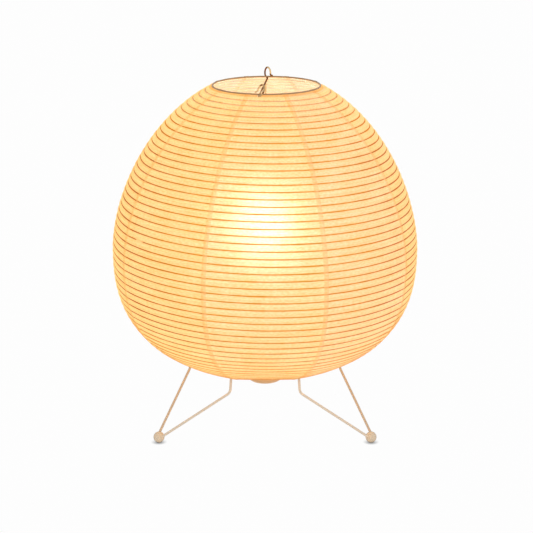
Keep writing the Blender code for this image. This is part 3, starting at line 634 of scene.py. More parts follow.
# How strongly each part of the paper is tinted, and its tint
TINTS = {
    "lap": (0.55, (0.93, 0.76, 0.56)),
    "hem": (0.8, (0.90, 0.66, 0.42)),
    "fleck": (0.16, (0.93, 0.82, 0.66)),
    # painted shade: the belly of the paper darkened where it turns away from the eye
    "side": (1.0, (0.95, 0.95, 0.90)),
    "underside": (1.0, (1.0, 1.045, 1.045)),
    # painted shade: a dark line along the lower silhouette, where the paper turns away from the eye
    "painted_lower_limb_shade": (1.0, (0.78, 0.50, 0.34)),
}
SOAKED_SHARE = 0.5
PAPER_IOR = 1.26
PAPER_RELIEF = 0.25 * MM


def rib_shadow_mask(w, shade, section, arc, lay, cloud):
    """Painted shadow of the rib: one on the rib's line, fainter where the rib is spliced, and nought beside it.
    """
    off_line = w.times(w.maths("PINGPONG", w.attribute("rib_turn"), 0.5), shade.rib_pitch)
    wobble = w.times(w.less(cloud, 0.5), RIB_WOBBLE)
    line = w.ramp(w.maths("ADD", off_line, wobble), *RIB_LINE, 1.0, 0.0)
    start, end = rib_span(shade, section)
    present = w.times(w.ramp(arc, start - RIB_FADE, start), w.ramp(arc, end, end + RIB_FADE, 1.0, 0.0))
    aside = w.add("ShaderNodeVectorMath", {0: lay, 1: SPLICE}, operation="SUBTRACT").outputs[0]
    away = w.add("ShaderNodeVectorMath", {0: w.stretched(aside, SPLICE_STRETCH)}, operation="LENGTH")
    splice = w.ramp(away.outputs["Value"], *SPLICE_SPAN, SPLICE_LOSS, 0.0)
    return w.times(w.times(line, present), w.less(1.0, splice))


def paper_finish(shade, section):
    """Paper with painted lamplight: laid fibres, clouds, the rib's painted shadow and the seams showing
    through, hems at both edges, painted shade where it turns away, and the glow as emission.
    """
    material, w, shader = new_material("lit_laid_paper")
    arc = w.attribute("arc")
    lay = w.attribute("lay", "Vector")
    laid = w.add("ShaderNodeGroup", {"Lay": lay}, node_tree=shared_group("laid_paper", laid_paper_group))
    fibre, cloud, fleck = (laid.outputs[name] for name in ("Fibre", "Cloud", "Fleck"))
    facing = w.add("ShaderNodeLayerWeight").outputs["Facing"]
    inner = w.add("ShaderNodeNewGeometry").outputs["Backfacing"]

    # Masks: the rib's line for its painted shadow, the glued laps, the two hems, the underside, and the sides
    # for painted shade
    line = rib_shadow_mask(w, shade, section, arc, lay, cloud)
    half = shade.seam_width / 2
    seam = w.ramp(w.attribute("lap"), half - LAP_BLUR[0], half + LAP_BLUR[1], 1.0, 0.0)
    hem = w.maths("ADD", w.ramp(arc, *TOP_HEM, 1.0, 0.0),
                  w.ramp(arc, *(section.length - up for up in LOWER_HEM)))
    under = w.ramp(arc, *(section.length * share for share in UNDERSIDE))
    aside = w.times(w.ramp(arc, *(section.length * share for share in CROWN_END)), w.less(1.0, under))

    # Tints: the fibres, then each tint through its mask, painted shade among them, then the rib's painted
    # shadow
    grain = w.scaled(fibre, FIBRE_DEPTH, w.scaled(cloud, CLOUD_DEPTH, GRAIN_LEVEL))
    green, blue = (w.scaled(grain, depth, 1 - depth) for depth in (GREEN_DEPTH, BLUE_DEPTH))
    # Painted light: each gore's blue scaled by its stored tone
    blue = w.times(blue, w.attribute("tone"))
    tint = w.add("ShaderNodeCombineColor", {"Red": 1.0, "Green": green, "Blue": blue}).outputs[0]
    # The side and lower edge masks follow the facing: painted shade where the paper turns away
    masks = {"lap": seam, "hem": hem, "fleck": fleck, "side": w.times(w.ramp(facing, *LIMB_SHADE_FACING), aside),
             "underside": under, "painted_lower_limb_shade": w.times(w.ramp(facing, *LOWER_LIMB_SHADE_FACING), under)}
    for part, (strength, colour) in TINTS.items():
        tint = w.tinted(tint, opaque(colour), w.times(masks[part], strength))
    # Painted rib shadow: muted on the inner face and in the laps, deeper where the paper turns from the eye
    muted = w.scaled(inner, -LINE_LOST_INSIDE, w.less(1.0, w.times(seam, LINE_LOST_IN_LAP)))
    seen_rib_shadow = w.maths("MAXIMUM", w.times(line, muted), 0.0)
    turned = w.times(w.ramp(facing, *LINE_FACING), w.scaled(aside, *LINE_TURNED))
    marks = w.tinted(tint, w.blend(turned, opaque(shade.rib_shadow), opaque(shade.rib_shadow_turned_away)), seen_rib_shadow)

    sheet = w.blend(inner, opaque(shade.paper), opaque(shade.paper_inside))
    # Painted lamplight: the paper's glow as emission, with a painted halo where it faces the eye
    lit = w.blend(inner, opaque(shade.glow), opaque(shade.glow_inside))
    lit = w.blend(w.ramp(facing, *HALO_FACING, 1.0, 0.0), lit, opaque(shade.halo), "ADD")
    w.fill(shader, {"Base Color": w.tinted(sheet, marks), "Emission Color": w.tinted(lit, marks),
                    "Emission Strength": shade.glow_strength, "Roughness": 1.0, "IOR": PAPER_IOR,
                    "Specular IOR Level": 0.2, "Transmission Weight": 0.35})
    w.relief(shader, fibre, PAPER_RELIEF, 0.6)
    soaked = w.add("ShaderNodeBsdfTranslucent", {"Color": w.tinted(opaque(shade.soaking), marks)})
    w.surface(SOAKED_SHARE, shader, soaked)
    material.cycles.emission_sampling = "NONE"
    return material


GORE_SIDES = ("front", "front_right", "right", "rear_right", "rear", "rear_left", "left", "front_left")
# How much bluer each gore is, in the order of the sides: painted light, bluer on the gores in view to the right
# and warmer on those to the left
GORE_LIGHT_BLUENESS = (1.0, 1.14, 1.02, 1.04, 0.97, 1.03, 0.94, 0.95)
PAPER_COLUMNS = 14
ROWS_PER_TURN = 6
PUFF_SEAT = 0.6
PUFF_TAPERS = (6 * MM, 48 * MM)
CROWN_PUFF = 0.8
CROWN_SHARE = 0.2
LAP_STEP = 0.3 * MM
ROW_MARGIN = 0.7 * MM
# Where a hook passes through a gore: its column, and the slit's two edges from the bar's azimuth
SLITS = {"front": (4, -6.6 * MM, -0.3 * MM), "rear": (6, 3.7 * MM, 8.5 * MM)}
SLIT_DEPTH = 6.6 * MM


def gore_columns(shade, radius, left, right, slit):
    """Azimuths across a gore from seam to seam, with the laps' edges and a hook's slit as lines."""
    lap = (shade.seam_width / 2 - LAP_STEP) / radius
    inner = (shade.seam_width / 2 + LAP_STEP) / radius
    span = right - left - 2 * inner
    columns = [left, left + lap]
    columns += [left + inner + span * i / PAPER_COLUMNS for i in range(PAPER_COLUMNS + 1)]
    columns += [right - lap, right]
    if slit:
        azimuth, column, low, high = slit
        columns[2 + column] = azimuth + low / radius
        columns[3 + column] = azimuth + high / radius
    return columns


def gore_mesh(name, shade, section, count, slit):
    """One gore: rows follow the rib's spiral, and the paper swells a little between its turns."""
    half = pi / shade.gores
    middle = count * TURN / shade.gores
    to_middle = (middle - RIB_START_AZIMUTH - half + 1e-6) % TURN + half
    rows_down = int(section.length / shade.rib_pitch * ROWS_PER_TURN) + 2 * ROWS_PER_TURN

    def turned(azimuth):
        return (to_middle + azimuth - middle) / TURN

    def spiral_arc(row, azimuth):
        even = shade.rib_start + shade.rib_pitch * (row / ROWS_PER_TURN + turned(azimuth))
        return even + rib_shift(shade, section, even, azimuth)

    ends = (middle - half, middle + half)
    inner_rows = [row for row in range(-2 * ROWS_PER_TURN, rows_down)
                  if all(ROW_MARGIN < spiral_arc(row, end) < section.length - ROW_MARGIN for end in ends)]
    edges = {"top": 0.0, "bottom": section.length}
    solid = bmesh.new()
    layers = {key: solid.verts.layers.float.new(key) for key in ("arc", "lap", "rib_turn", "tone")}
    lay = solid.verts.layers.float_vector.new("lay")
    grid = []
    for row in ["top", *inner_rows, "bottom"]:
        middle_arc = edges[row] if row in edges else spiral_arc(row, middle)
        left, right = (seam_azimuth(shade, count + end, middle_arc / section.length) for end in (0, 1))
        line = []
        for azimuth in gore_columns(shade, section.at(middle_arc)[0], left, right, slit):
            if row in edges:
                arc = edges[row]
                even = arc - rib_shift(shade, section, arc, azimuth)
                phase = (even - shade.rib_start) / shade.rib_pitch - turned(azimuth)
            else:
                arc = spiral_arc(row, azimuth)
                phase = row / ROWS_PER_TURN
            radius, height, out_r, out_z = section.at(arc)
            part = phase - floor(phase)
            taper = min(1.0, arc / PUFF_TAPERS[0], (section.length - arc) / PUFF_TAPERS[1])
            taper *= 1 + CROWN_PUFF * max(0.0, 1 - arc / section.length / CROWN_SHARE)
            lift = shade.puff * taper * (4 * part * (1 - part) - PUFF_SEAT)
            to_seam = min(azimuth - left, right - azimuth) * radius
            if to_seam < shade.seam_width / 2:
                lift += shade.seam_rise
            flat = gore_flat(shade, left, right, azimuth) * hem_drawn(azimuth, arc / section.length)
            point = polar((radius + out_r * lift) * flat, azimuth, height + out_z * lift)
            vert = solid.verts.new(leaned(shade, point))
            stored = {"arc": arc, "lap": to_seam, "rib_turn": phase, "tone": GORE_LIGHT_BLUENESS[count]}
            for key, value in stored.items():
                vert[layers[key]] = value
            vert[lay] = (azimuth * shade.belly_radius, arc, 0.0)
            line.append(vert)
        grid.append(line)
    for upper, lower in zip(grid, grid[1:]):
        for i in range(len(upper) - 1):
            if slit and i == 2 + slit[1] and lower[i][layers["arc"]] < SLIT_DEPTH:
                continue
            solid.faces.new((upper[i], lower[i], lower[i + 1], upper[i + 1]))
    return smooth_mesh(solid, name)


class LANTERN_OT_paper_gores(bpy.types.Operator):
    """Cover the shade with eight gores of lit paper"""
    bl_idname = "lantern.paper_gores"
    bl_label = "Paper gores"

    def execute(self, context):
        shade = context.scene.lantern.shade
        section = Section(shade)
        finish = paper_finish(shade, section)
        hooks = {"front": context.scene.lantern.stretcher.azimuth}
        hooks["rear"] = hooks["front"] + pi
        for count, side in enumerate(GORE_SIDES):
            slit = (hooks[side], *SLITS[side]) if side in SLITS else None
            mesh = gore_mesh("gore_" + side, shade, section, count, slit)
            add_piece("gore_" + side, mesh, finish, "lamp", "washi_paper", "paper_gore_" + side)
        return {"FINISHED"}


# Rib

RIB_STEPS = 72
RIB_GAP = 0.15 * MM
BAMBOO_STREAKS = (60.0, 60.0, 900.0)
BAMBOO_BLOTCHES = 30.0
BAMBOO_DARK = 0.72


def bamboo_finish(shade):
    """Split bamboo: long streaks and slow blotches under a waxy skin."""
    material, w, shader = new_material("split_bamboo")
    place = w.add("ShaderNodeTexCoord").outputs["Object"]
    streak = w.noise(w.stretched(place, BAMBOO_STREAKS), 1.0, 3.0, 0.6)
    blotch = w.noise(place, BAMBOO_BLOTCHES)
    dark = tuple(part * BAMBOO_DARK for part in shade.bamboo)
    tone = w.ramp(w.scaled(streak, 0.6, w.times(blotch, 0.4)), 0.36, 0.62)
    w.fill(shader, {"Base Color": w.blend(tone, opaque(dark), opaque(shade.bamboo)),
                    "Roughness": w.ramp(streak, 0.3, 0.7, 0.42, 0.62)})
    w.relief(shader, streak, 0.1 * MM)
    return material


class LANTERN_OT_bamboo_rib(bpy.types.Operator):
    """Wind the bamboo rib inside the paper, from the top hem to the bottom one"""
    bl_idname = "lantern.bamboo_rib"
    bl_label = "Bamboo rib"

    def execute(self, context):
        shade = context.scene.lantern.shade
        section = Section(shade)
        start, end = rib_span(shade, section)
        steps = floor((end - start) / shade.rib_pitch * RIB_STEPS)
        inset = shade.rib_radius + RIB_GAP + shade.puff * PUFF_SEAT
        line = []
        for step in range(steps + 1):
            azimuth = RIB_START_AZIMUTH + TURN * step / RIB_STEPS
            arc = start + shade.rib_pitch * step / RIB_STEPS
            arc += rib_shift(shade, section, arc, azimuth)
            share = arc / section.length
            gore = floor(azimuth / TURN * shade.gores + 0.5)
            left, right = (seam_azimuth(shade, gore + side, share) for side in (0, 1))
            if not left <= azimuth <= right:
                gore += 1 if azimuth > right else -1
                left, right = (seam_azimuth(shade, gore + side, share) for side in (0, 1))
            flat = gore_flat(shade, left, right, azimuth) * hem_drawn(azimuth, share)
            radius, height, out_r, out_z = section.at(arc)
            point = polar((radius - out_r * inset) * flat, azimuth, height - out_z * inset)
            line.append(leaned(shade, point))
        add_wire("bamboo_spiral", line, shade.rib_radius, bamboo_finish(shade), "split_bamboo", "bamboo_rib",
                 sides=6)
        return {"FINISHED"}


# Hem rings

RING_RADIUS = 1.5 * MM
HEM_WIRE_RADIUS = 1.3 * MM
HEM_WIRE_STEPS = 128
TAB_STEPS = 10
TAB_FACES = (0.12 * MM, 0.36 * MM)
TAB_LOOP = [(side, TAB_FACES[0]) for side in (-1, 0, 1)] + [(side, TAB_FACES[1]) for side in (1, 0, -1)]
TAB_START = radians(-50)
TAB_WRAP = radians(230)


def ring_place(node, radius):
    """Radius and height of a CAD ring of that wire radius."""
    low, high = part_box(node)
    return high.x - radius, (low.z + high.z) / 2


def tab_mesh(shade, ring_radius, ring_height):
    """Paper tabs folded over the top ring, one where each seam meets it."""
    solid = bmesh.new()
    half = shade.seam_width / 2 / ring_radius
    for seam in range(shade.gores):
        middle = seam_azimuth(shade, seam, 0.0)
        loops = []
        for step in range(TAB_STEPS + 1):
            angle = TAB_START + TAB_WRAP * step / TAB_STEPS
            loop = []
            for side, face in TAB_LOOP:
                offset = HEM_WIRE_RADIUS + face
                point = polar(ring_radius + offset * cos(angle), middle + side * half,
                              ring_height + offset * sin(angle))
                loop.append(solid.verts.new(leaned(shade, point)))
            loops.append(loop)
        skin(solid, loops, False)
        for loop in (loops[0], loops[-1]):
            solid.faces.new((loop[0], loop[1], loop[4], loop[5]))
            solid.faces.new((loop[1], loop[2], loop[3], loop[4]))
    return closed_mesh(solid, "hem_tabs", WIRE_CREASE)


def tab_finish():
    """Glue-darkened paper."""
    return worked_finish("hem_paper", (0.50, 0.33, 0.18), 0.75, mottle=0.2, scale=140.0, bump=0.1 * MM)


class LANTERN_OT_hem_rings(bpy.types.Operator):
    """Set the wire rings in the top and bottom hems, with the paper's tabs over the top one"""
    bl_idname = "lantern.hem_rings"
    bl_label = "Hem rings"

    def execute(self, context):
        settings = context.scene.lantern
        wire = worked_finish("hem_wire", settings.stretcher.hem_wire, 0.45, mottle=0.16, scale=90.0,
                             spread=0.2)
        for name, node in (("top_hem_ring", "top_ring"), ("bottom_hem_ring", "bottom_ring")):
            radius, height = ring_place(node, RING_RADIUS)
            share = float(node == "bottom_ring")
            line = [leaned(settings.shade, polar(radius * hem_drawn(turn, share), turn, height))
                    for turn in round_turn(HEM_WIRE_STEPS)]
            add_wire(name, line, HEM_WIRE_RADIUS, wire, "hem_wire", node, cyclic=True)
        tabs = tab_mesh(settings.shade, *ring_place("top_ring", RING_RADIUS))
        add_piece("hem_tabs", tabs, tab_finish(), "lamp", "washi_paper")
        return {"FINISHED"}


# Stretcher

LOOP_STEPS = 40
BEND_STEPS = 12
SEAT_GAP = 0.3 * MM
BAR_POINTS = (0.0, 0.42, 0.46)
# Where painted shade begins and ends on the front hook, as shares of its loop
PAINTED_SHADE_RISE = 0.27
PAINTED_SHADE_FALL = 0.70


def painted_shade_by_mark(material, tint):
    """Tint a finish where its mesh is marked for painted shade."""
    w = Wiring(material.node_tree)
    shader = material.node_tree.nodes["Principled BSDF"]
    clean = shader.inputs["Base Color"].links[0].from_socket
    w.feed(shader.inputs["Base Color"], w.tinted(clean, opaque(tint), w.attribute("browned")))
    return shader


def brassed_wire(stretcher):
    """Drawn wire with a thin brass plating, darkened in places by painted shade."""
    material = worked_finish("brassed_wire", stretcher.wire, 0.6, mottle=0.2, scale=110.0, spread=0.2)
    shader = painted_shade_by_mark(material, stretcher.painted_shade_tint)
    shader.inputs["Specular IOR Level"].default_value = 0.08
    return material


def zinc():
    """Zinc-plated steel."""
    return worked_finish("zinc_plate", (0.70, 0.70, 0.68), 0.36, metallic=1.0, mottle=0.12, scale=180.0,
                         spread=0.22)


def hook_line(stretcher, centre, bar_height, lean):
    """The hook at the bar's front end: under the ring, up outside it, over it, down inside, tip aside."""
    line = [Vector((0.0, -centre * part, bar_height)) for part in BAR_POINTS]
    for step in range(LOOP_STEPS + 1):
        angle = stretcher.loop_turn * step / LOOP_STEPS
        lead_in = sin(min(1.0, angle / stretcher.loop_lead_in) * pi / 2) ** 2
        skew = stretcher.loop_radius * sin(stretcher.loop_skew) * lead_in
        across = skew * sin(angle) + lean * (1 - cos(angle))
        out = centre + stretcher.loop_radius * cos(stretcher.loop_skew) * sin(angle)
        line.append(Vector((across, -out, bar_height + stretcher.loop_radius * (1 - cos(angle)))))
    end = line[-1]
    down = (end - line[-2]).normalized()
    aside = Vector((-sin(stretcher.tip_turn), -cos(stretcher.tip_turn), 0.0))
    for step in range(1, BEND_STEPS + 1):
        bend = pi / 2 * step / BEND_STEPS
        line.append(end + (down * sin(bend) + aside * (1 - cos(bend))) * stretcher.tip_bend)
    return line + [line[-1] + aside * stretcher.tip_reach]


def mark_painted_shade(mesh, line, spans):
    """Store how much painted shade the wire has: by an amount in each span of its points, else not at all."""
    marks = [max((amount for first, last, amount in spans if first <= i < last), default=0.0)
             for i in range(len(line))]
    places = np.array([tuple(point) for point in line])
    layer = mesh.attributes.new("browned", "FLOAT", "POINT")
    for vert in mesh.vertices:
        near = int(np.argmin(((places - np.array(vert.co)) ** 2).sum(axis=1)))
        layer.data[vert.index].value = marks[near]


class LANTERN_OT_stretcher(bpy.types.Operator):
    """Bend the crossbar with its two hooks and stand it on its uprights"""
    bl_idname = "lantern.stretcher"
    bl_label = "Stretcher"

    def execute(self, context):
        stretcher = context.scene.lantern.stretcher
        wire = brassed_wire(stretcher)
        ring_radius, ring_height = ring_place("top_ring", RING_RADIUS)
        bar_height = ring_height - RING_RADIUS - SEAT_GAP - stretcher.bar_radius
        centre = ring_radius + stretcher.loop_outset
        lean = stretcher.loop_lean
        rear = [Vector((-p.x, -p.y, p.z)) for p in hook_line(stretcher, centre, bar_height, lean)[:0:-1]]
        front = hook_line(stretcher, centre, bar_height, lean + stretcher.front_lean)
        aside = Vector((-stretcher.bar_offset, 0.0, 0.0))
        line = [point + aside for point in turned_about_z(rear + front, stretcher.azimuth)]
        piece = add_wire("stretcher_bar", line, stretcher.bar_radius, wire, "bright_wire", "stretcher_crossbar")
        bar = len(rear)
        # Painted shade along the wire, by spans of its points: full on parts of both hooks, part on the front
        # one
        rise, fall = (bar + 3 + round(LOOP_STEPS * part) for part in (PAINTED_SHADE_RISE, PAINTED_SHADE_FALL))
        mark_painted_shade(piece.data, line, (
            (0, BEND_STEPS + 2, 1.0), (bar - 2 - LOOP_STEPS * 2 // 3, bar + 2, 1.0),
            (rise, rise + 3, 1.0), (fall, fall + 4, 1.0), (bar + 2, fall, 0.4)))
        for side, azimuth in (("front", stretcher.azimuth), ("rear", stretcher.azimuth + pi)):
            node = "stretcher_upright_" + side
            ends = [polar(stretcher.upright_offset, azimuth, corner.z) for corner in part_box(node)]
            ends[1] += aside
            add_wire("stretcher_post_" + side, ends, stretcher.bar_radius, wire, "bright_wire", node)
        finish_nodes(zinc(), "stretcher_saddle", "stretcher_socket_front", "stretcher_socket_rear")
        return {"FINISHED"}


# Stand

LEG_SIDES = {"left": radians(-60), "right": radians(60), "rear": pi}
RING_FACETS = 32
HOOK_WRAP = radians(120)
HOOK_STEPS = 10
STAND_HOOP_STEPS = 144


def leg_path(stand):
    """The centre line of a leg that stands in front: hook, knee, toe, knee and hook in one wire."""
    ring_radius, ring_height = ring_place("bottom_ring", RING_RADIUS)
    bend = stand.wire_radius + SEAT_GAP + RING_RADIUS
    seat = ring_radius * cos(pi / RING_FACETS)
    outward = polar(1.0, stand.leg_spread, 0.0)
    hook = []
    for step in range(HOOK_STEPS + 1):
        angle = HOOK_WRAP * (1 - step / HOOK_STEPS)
        hook.append(outward * (seat - bend * cos(angle)) + Vector((0.0, 0.0, ring_height + bend * sin(angle))))
    top = seat - bend
    knee = polar(top + stand.knee_out, stand.leg_spread, stand.knee_height)
    ball = polar(stand.foot_radius, 0.0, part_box("foot_ball_rear")[1].z - stand.ball_radius)
    middle = Vector((0.0, knee.y, knee.z))
    half_angle = atan2((knee - middle).length, (ball - middle).length)
    toe = ball + (ball - middle).normalized() * stand.toe_bend * (1 / sin(half_angle) - 1)
    other = [Vector((-p.x, p.y, p.z)) for p in reversed(hook)]
    corners = [hook[-1], knee, toe, Vector((-knee.x, knee.y, knee.z)), other[0]]
    run = bent(corners, [stand.knee_bend, stand.toe_bend, stand.knee_bend], BEND_STEPS)
    return hook[:-1] + run + other[1:]


def cream_enamel(stand):
    """Cream enamel baked on wire, with painted shade on the outer wires."""
    material = worked_finish("cream_enamel", stand.enamel, 0.42, mottle=0.05, scale=70.0, spread=0.15,
                             coat=0.15)
    painted_shade_by_mark(material, stand.browned)
    return material


class LANTERN_OT_wire_stand(bpy.types.Operator):
    """Bend the three legs and set the hoop and spokes that join them to the hub"""
    bl_idname = "lantern.wire_stand"
    bl_label = "Wire stand"

    def execute(self, context):
        stand = context.scene.lantern.stand
        enamel = cream_enamel(stand)
        path = leg_path(stand)
        half = len(path) // 2
        # Painted shade on the strands of the left and right legs that turn to the side
        outer = {"left": ((half, len(path), 1.0),), "right": ((0, half, 1.0),), "rear": ()}
        for side, azimuth in LEG_SIDES.items():
            line = turned_about_z(path, azimuth)
            leg = add_wire("leg_wire_" + side, line, stand.wire_radius, enamel, "cream_enamel", "leg_" + side)
            mark_painted_shade(leg.data, line, outer[side])
        radius, height = ring_place("stand_ring", stand.wire_radius)
        line = [polar(radius, turn, height) for turn in round_turn(STAND_HOOP_STEPS)]
        add_wire("stand_hoop", line, stand.wire_radius, enamel, "cream_enamel", "stand_ring", cyclic=True)
        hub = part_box("hub_plate")[1].x
        for side, azimuth in LEG_SIDES.items():
            ends = [polar(reach, azimuth, height) for reach in (hub + SEAT_GAP, radius - stand.wire_radius)]
            add_wire("spoke_rod_" + side, ends, stand.wire_radius, enamel, "cream_enamel", "spoke_" + side)
        return {"FINISHED"}


class LANTERN_OT_ball_feet(bpy.types.Operator):
    """Press a turned ball on the toe of each leg"""
    bl_idname = "lantern.ball_feet"
    bl_label = "Ball feet"

    def execute(self, context):
        stand = context.scene.lantern.stand
        # The balls have painted shade towards their rims
        paint = worked_finish("ball_enamel", stand.ball, 0.5, mottle=0.06, scale=120.0, spread=0.15, rim=0.6)
        for side in LEG_SIDES:
            low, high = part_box("foot_ball_" + side)
            centre = Vector(((low.x + high.x) / 2, (low.y + high.y) / 2, high.z - stand.ball_radius))
            solid = bmesh.new()
            bmesh.ops.create_uvsphere(solid, u_segments=48, v_segments=32, radius=stand.ball_radius)
            for vert in solid.verts:
                vert.co += centre
                vert.co.z = max(vert.co.z, low.z)
            mesh = closed_mesh(solid, "ball_foot_" + side)
            add_piece("ball_foot_" + side, mesh, paint, "lamp", "ball_enamel", "foot_ball_" + side)
        return {"FINISHED"}


# Hub and cap

CAP_WALL = 1.5 * MM
CAP_ROUND = 12 * MM
CAP_BEAD = 0.7 * MM
STEM_HOLE = 5.3 * MM


class LANTERN_OT_hub_and_cap(bpy.types.Operator):
    """Close the hub with its cap, and finish the plate, nuts, stem and cord gland"""
    bl_idname = "lantern.hub_and_cap"
    bl_label = "Hub and cap"

    def execute(self, context):
        stand = context.scene.lantern.stand
        tan_enamel = worked_finish("tan_enamel", stand.cap, 0.45, mottle=0.08, spread=0.15, coat=0.1)
        low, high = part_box("bottom_cap")
        radius = high.x
        outline = [(radius - CAP_BEAD, high.z), (radius, high.z - CAP_BEAD)]
        outline += corner_arc(radius, low.z, CAP_ROUND)
        outline += [(STEM_HOLE, low.z), (STEM_HOLE, low.z + CAP_WALL)]
        outline += reversed(corner_arc(radius - CAP_WALL, low.z + CAP_WALL, CAP_ROUND - CAP_WALL))
        outline += [(radius - CAP_WALL, high.z)]
        mesh = revolved("cap_bowl", outline, 96, closed=True)
        add_piece("cap_bowl", mesh, tan_enamel, "lamp", "tan_enamel", "bottom_cap")
        finish_nodes(tan_enamel, "cap_nut")
        finish_nodes(zinc(), "hub_plate", "hub_washer", "hub_nut", "stem_tube", "holder_nut")
        rubber = worked_finish("black_rubber", (0.03, 0.03, 0.03), 0.7, mottle=0.2, scale=200.0, bump=0.1 * MM)
        finish_nodes(rubber, "cord_gland")
        return {"FINISHED"}


# Lampholder

HOLDER_WALL = 2 * MM
HOLDER_EDGE = 0.5 * MM
GROOVES = 3
GROOVE_DROP = 9 * MM
GROOVE_PITCH = 4 * MM
GROOVE_WIDTH = 1.6 * MM
SHOULDER_RISE = 6 * MM


def brass():
    """Bright brass with a little tarnish."""
    return worked_finish("brass", (0.80, 0.60, 0.25), 0.28, metallic=1.0, mottle=0.18, scale=150.0, spread=0.2)


class LANTERN_OT_lampholder(bpy.types.Operator):
    """Mould the lampholder's sleeve and cup, and finish its insert, screws and contacts"""
    bl_idname = "lantern.lampholder"
    bl_label = "Lampholder"

    def execute(self, context):
        bulb = context.scene.lantern.bulb
        phenolic = worked_finish("white_phenolic", bulb.phenolic, 0.38, mottle=0.04, scale=80.0, coat=0.1)
        low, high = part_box("holder_shell")
        radius = high.x
        edge = HOLDER_EDGE
        outline = [(radius - edge, high.z), (radius, high.z - edge)]
        for step in range(GROOVES):
            groove = high.z - GROOVE_DROP - GROOVE_PITCH * step
            outline += [(radius, groove), (radius - edge, groove - edge),
                        (radius - edge, groove - GROOVE_WIDTH), (radius, groove - GROOVE_WIDTH - edge)]
        outline += [(radius, low.z), (radius - HOLDER_WALL, low.z), (radius - HOLDER_WALL, high.z)]
        mesh = revolved("holder_sleeve", outline, 64, closed=True)
        add_piece("holder_sleeve", mesh, phenolic, "lamp", "white_phenolic", "holder_shell")
        low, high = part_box("holder_base")
        shoulder = low.z + SHOULDER_RISE
        neck = radius - 2 * HOLDER_WALL
        outline = [(radius, high.z), (radius, shoulder + edge), (radius - edge, shoulder - edge),
                   (neck + edge, low.z + edge), (neck - edge, low.z), (STEM_HOLE, low.z), (STEM_HOLE, shoulder),
                   (neck, shoulder), (neck, high.z)]
        mesh = revolved("holder_cup", outline, 64, closed=True)
        add_piece("holder_cup", mesh, phenolic, "lamp", "white_phenolic", "holder_base")
        glaze = worked_finish("porcelain", (0.90, 0.89, 0.85), 0.22, mottle=0.04, scale=90.0, spread=0.08,
                              coat=0.5)
        finish_nodes(glaze, "holder_insert")
        finish_nodes(brass(), "terminal_screw_live", "terminal_screw_neutral", "centre_contact", "screw_shell")
        return {"FINISHED"}


# Bulb

GLASS = 0.8 * MM
NECK_INSET = 0.9 * MM
THREAD_SEGMENTS = 48
THREAD_ROWS = 56
THREAD_WALL = 0.6 * MM
THREAD_LIP = 0.75
THREAD_EASES = (0.12, 0.08)
BORE_EASE = 0.15 * MM
COIL_SIDE = 0.7
COIL_SPAN = 0.8
COIL_FAR = 0.46


def globe_outline(low, high, neck_radius, flare_end):
    """The globe's half section: outer side from the crown down the neck, and back up inside."""
    radius = high.x
    middle = high.z - radius
    shares = [step / CORNER_STEPS for step in range(CORNER_STEPS + 1)]
    outer = [(radius * sin(pi / 2 * share), middle + radius * cos(pi / 2 * share)) for share in shares]
    for share in shares[1:]:
        swell = neck_radius + (radius - neck_radius) * (1 + cos(pi * share)) / 2
        outer.append((swell, middle - (middle - flare_end) * share))
    outer.append((neck_radius, low.z))
    inner = [(max(r - GLASS, 0.0), z - (GLASS if r < GLASS else 0.0)) for r, z in reversed(outer)]
    return outer + inner


def thread_mesh(bulb, low, high):
    """The bulb's brass cap with its rolled thread, closed by a lip at the bottom and a rim at the top."""
    outer = high.x
    height = high.z - low.z
    solid = bmesh.new()
    rings = []
    for row in range(THREAD_ROWS + 1):
        share = row / THREAD_ROWS
        z = high.z - height * share
        ease = min(1.0, share / THREAD_EASES[0], (1 - share) / THREAD_EASES[1])
        ring = []
        for turn in round_turn(THREAD_SEGMENTS):
            wave = (1 - cos(TURN * (high.z - z) / bulb.thread_pitch + turn)) / 2
            ring.append(solid.verts.new(polar(outer - bulb.thread_depth * ease * wave, turn, z)))
        rings.append(ring)
    bore = outer - THREAD_WALL
    floor_high = low.z + THREAD_WALL
    for radius, z in ((bore * THREAD_LIP, low.z), (bore * THREAD_LIP, floor_high), (bore, floor_high),
                      (bore, high.z)):
        rings.append([solid.verts.new(polar(radius - BORE_EASE, turn, z))
                      for turn in round_turn(THREAD_SEGMENTS)])
    skin(solid, rings, True)
    return closed_mesh(solid, "bulb_screw_cap", WIRE_CREASE)


def opal_glass(bulb, middle, radius):
    """Lit opal glass, brightest low down and to one side, where its coil hangs."""
    material = worked_finish("opal_glass", (0.95, 0.93, 0.88), 0.28, mottle=0.02, scale=40.0, coat=0.4,
                             glow=bulb.warmth, strength=bulb.brightness)
    w = Wiring(material.node_tree)
    place = w.add("ShaderNodeSeparateXYZ", {0: w.add("ShaderNodeTexCoord").outputs["Object"]}).outputs
    level = w.ramp(w.scaled(place["X"], COIL_SIDE, place["Z"]), middle - COIL_SPAN * radius,
                   middle + COIL_SPAN * radius, 1.0, COIL_FAR)
    path = w.add("ShaderNodeLightPath").outputs
    bounced = w.less(path["Ray Depth"], path["Transmission Depth"])
    bounced = w.maths("ADD", bounced, path["Is Diffuse Ray"])
    level = w.times(level, w.maths("LESS_THAN", bounced, 0.5))
    shader = material.node_tree.nodes["Principled BSDF"]
    w.feed(shader.inputs["Emission Color"], w.tinted(w.grey(level), opaque(bulb.warmth)))
    material.cycles.emission_sampling = "NONE"
    return material


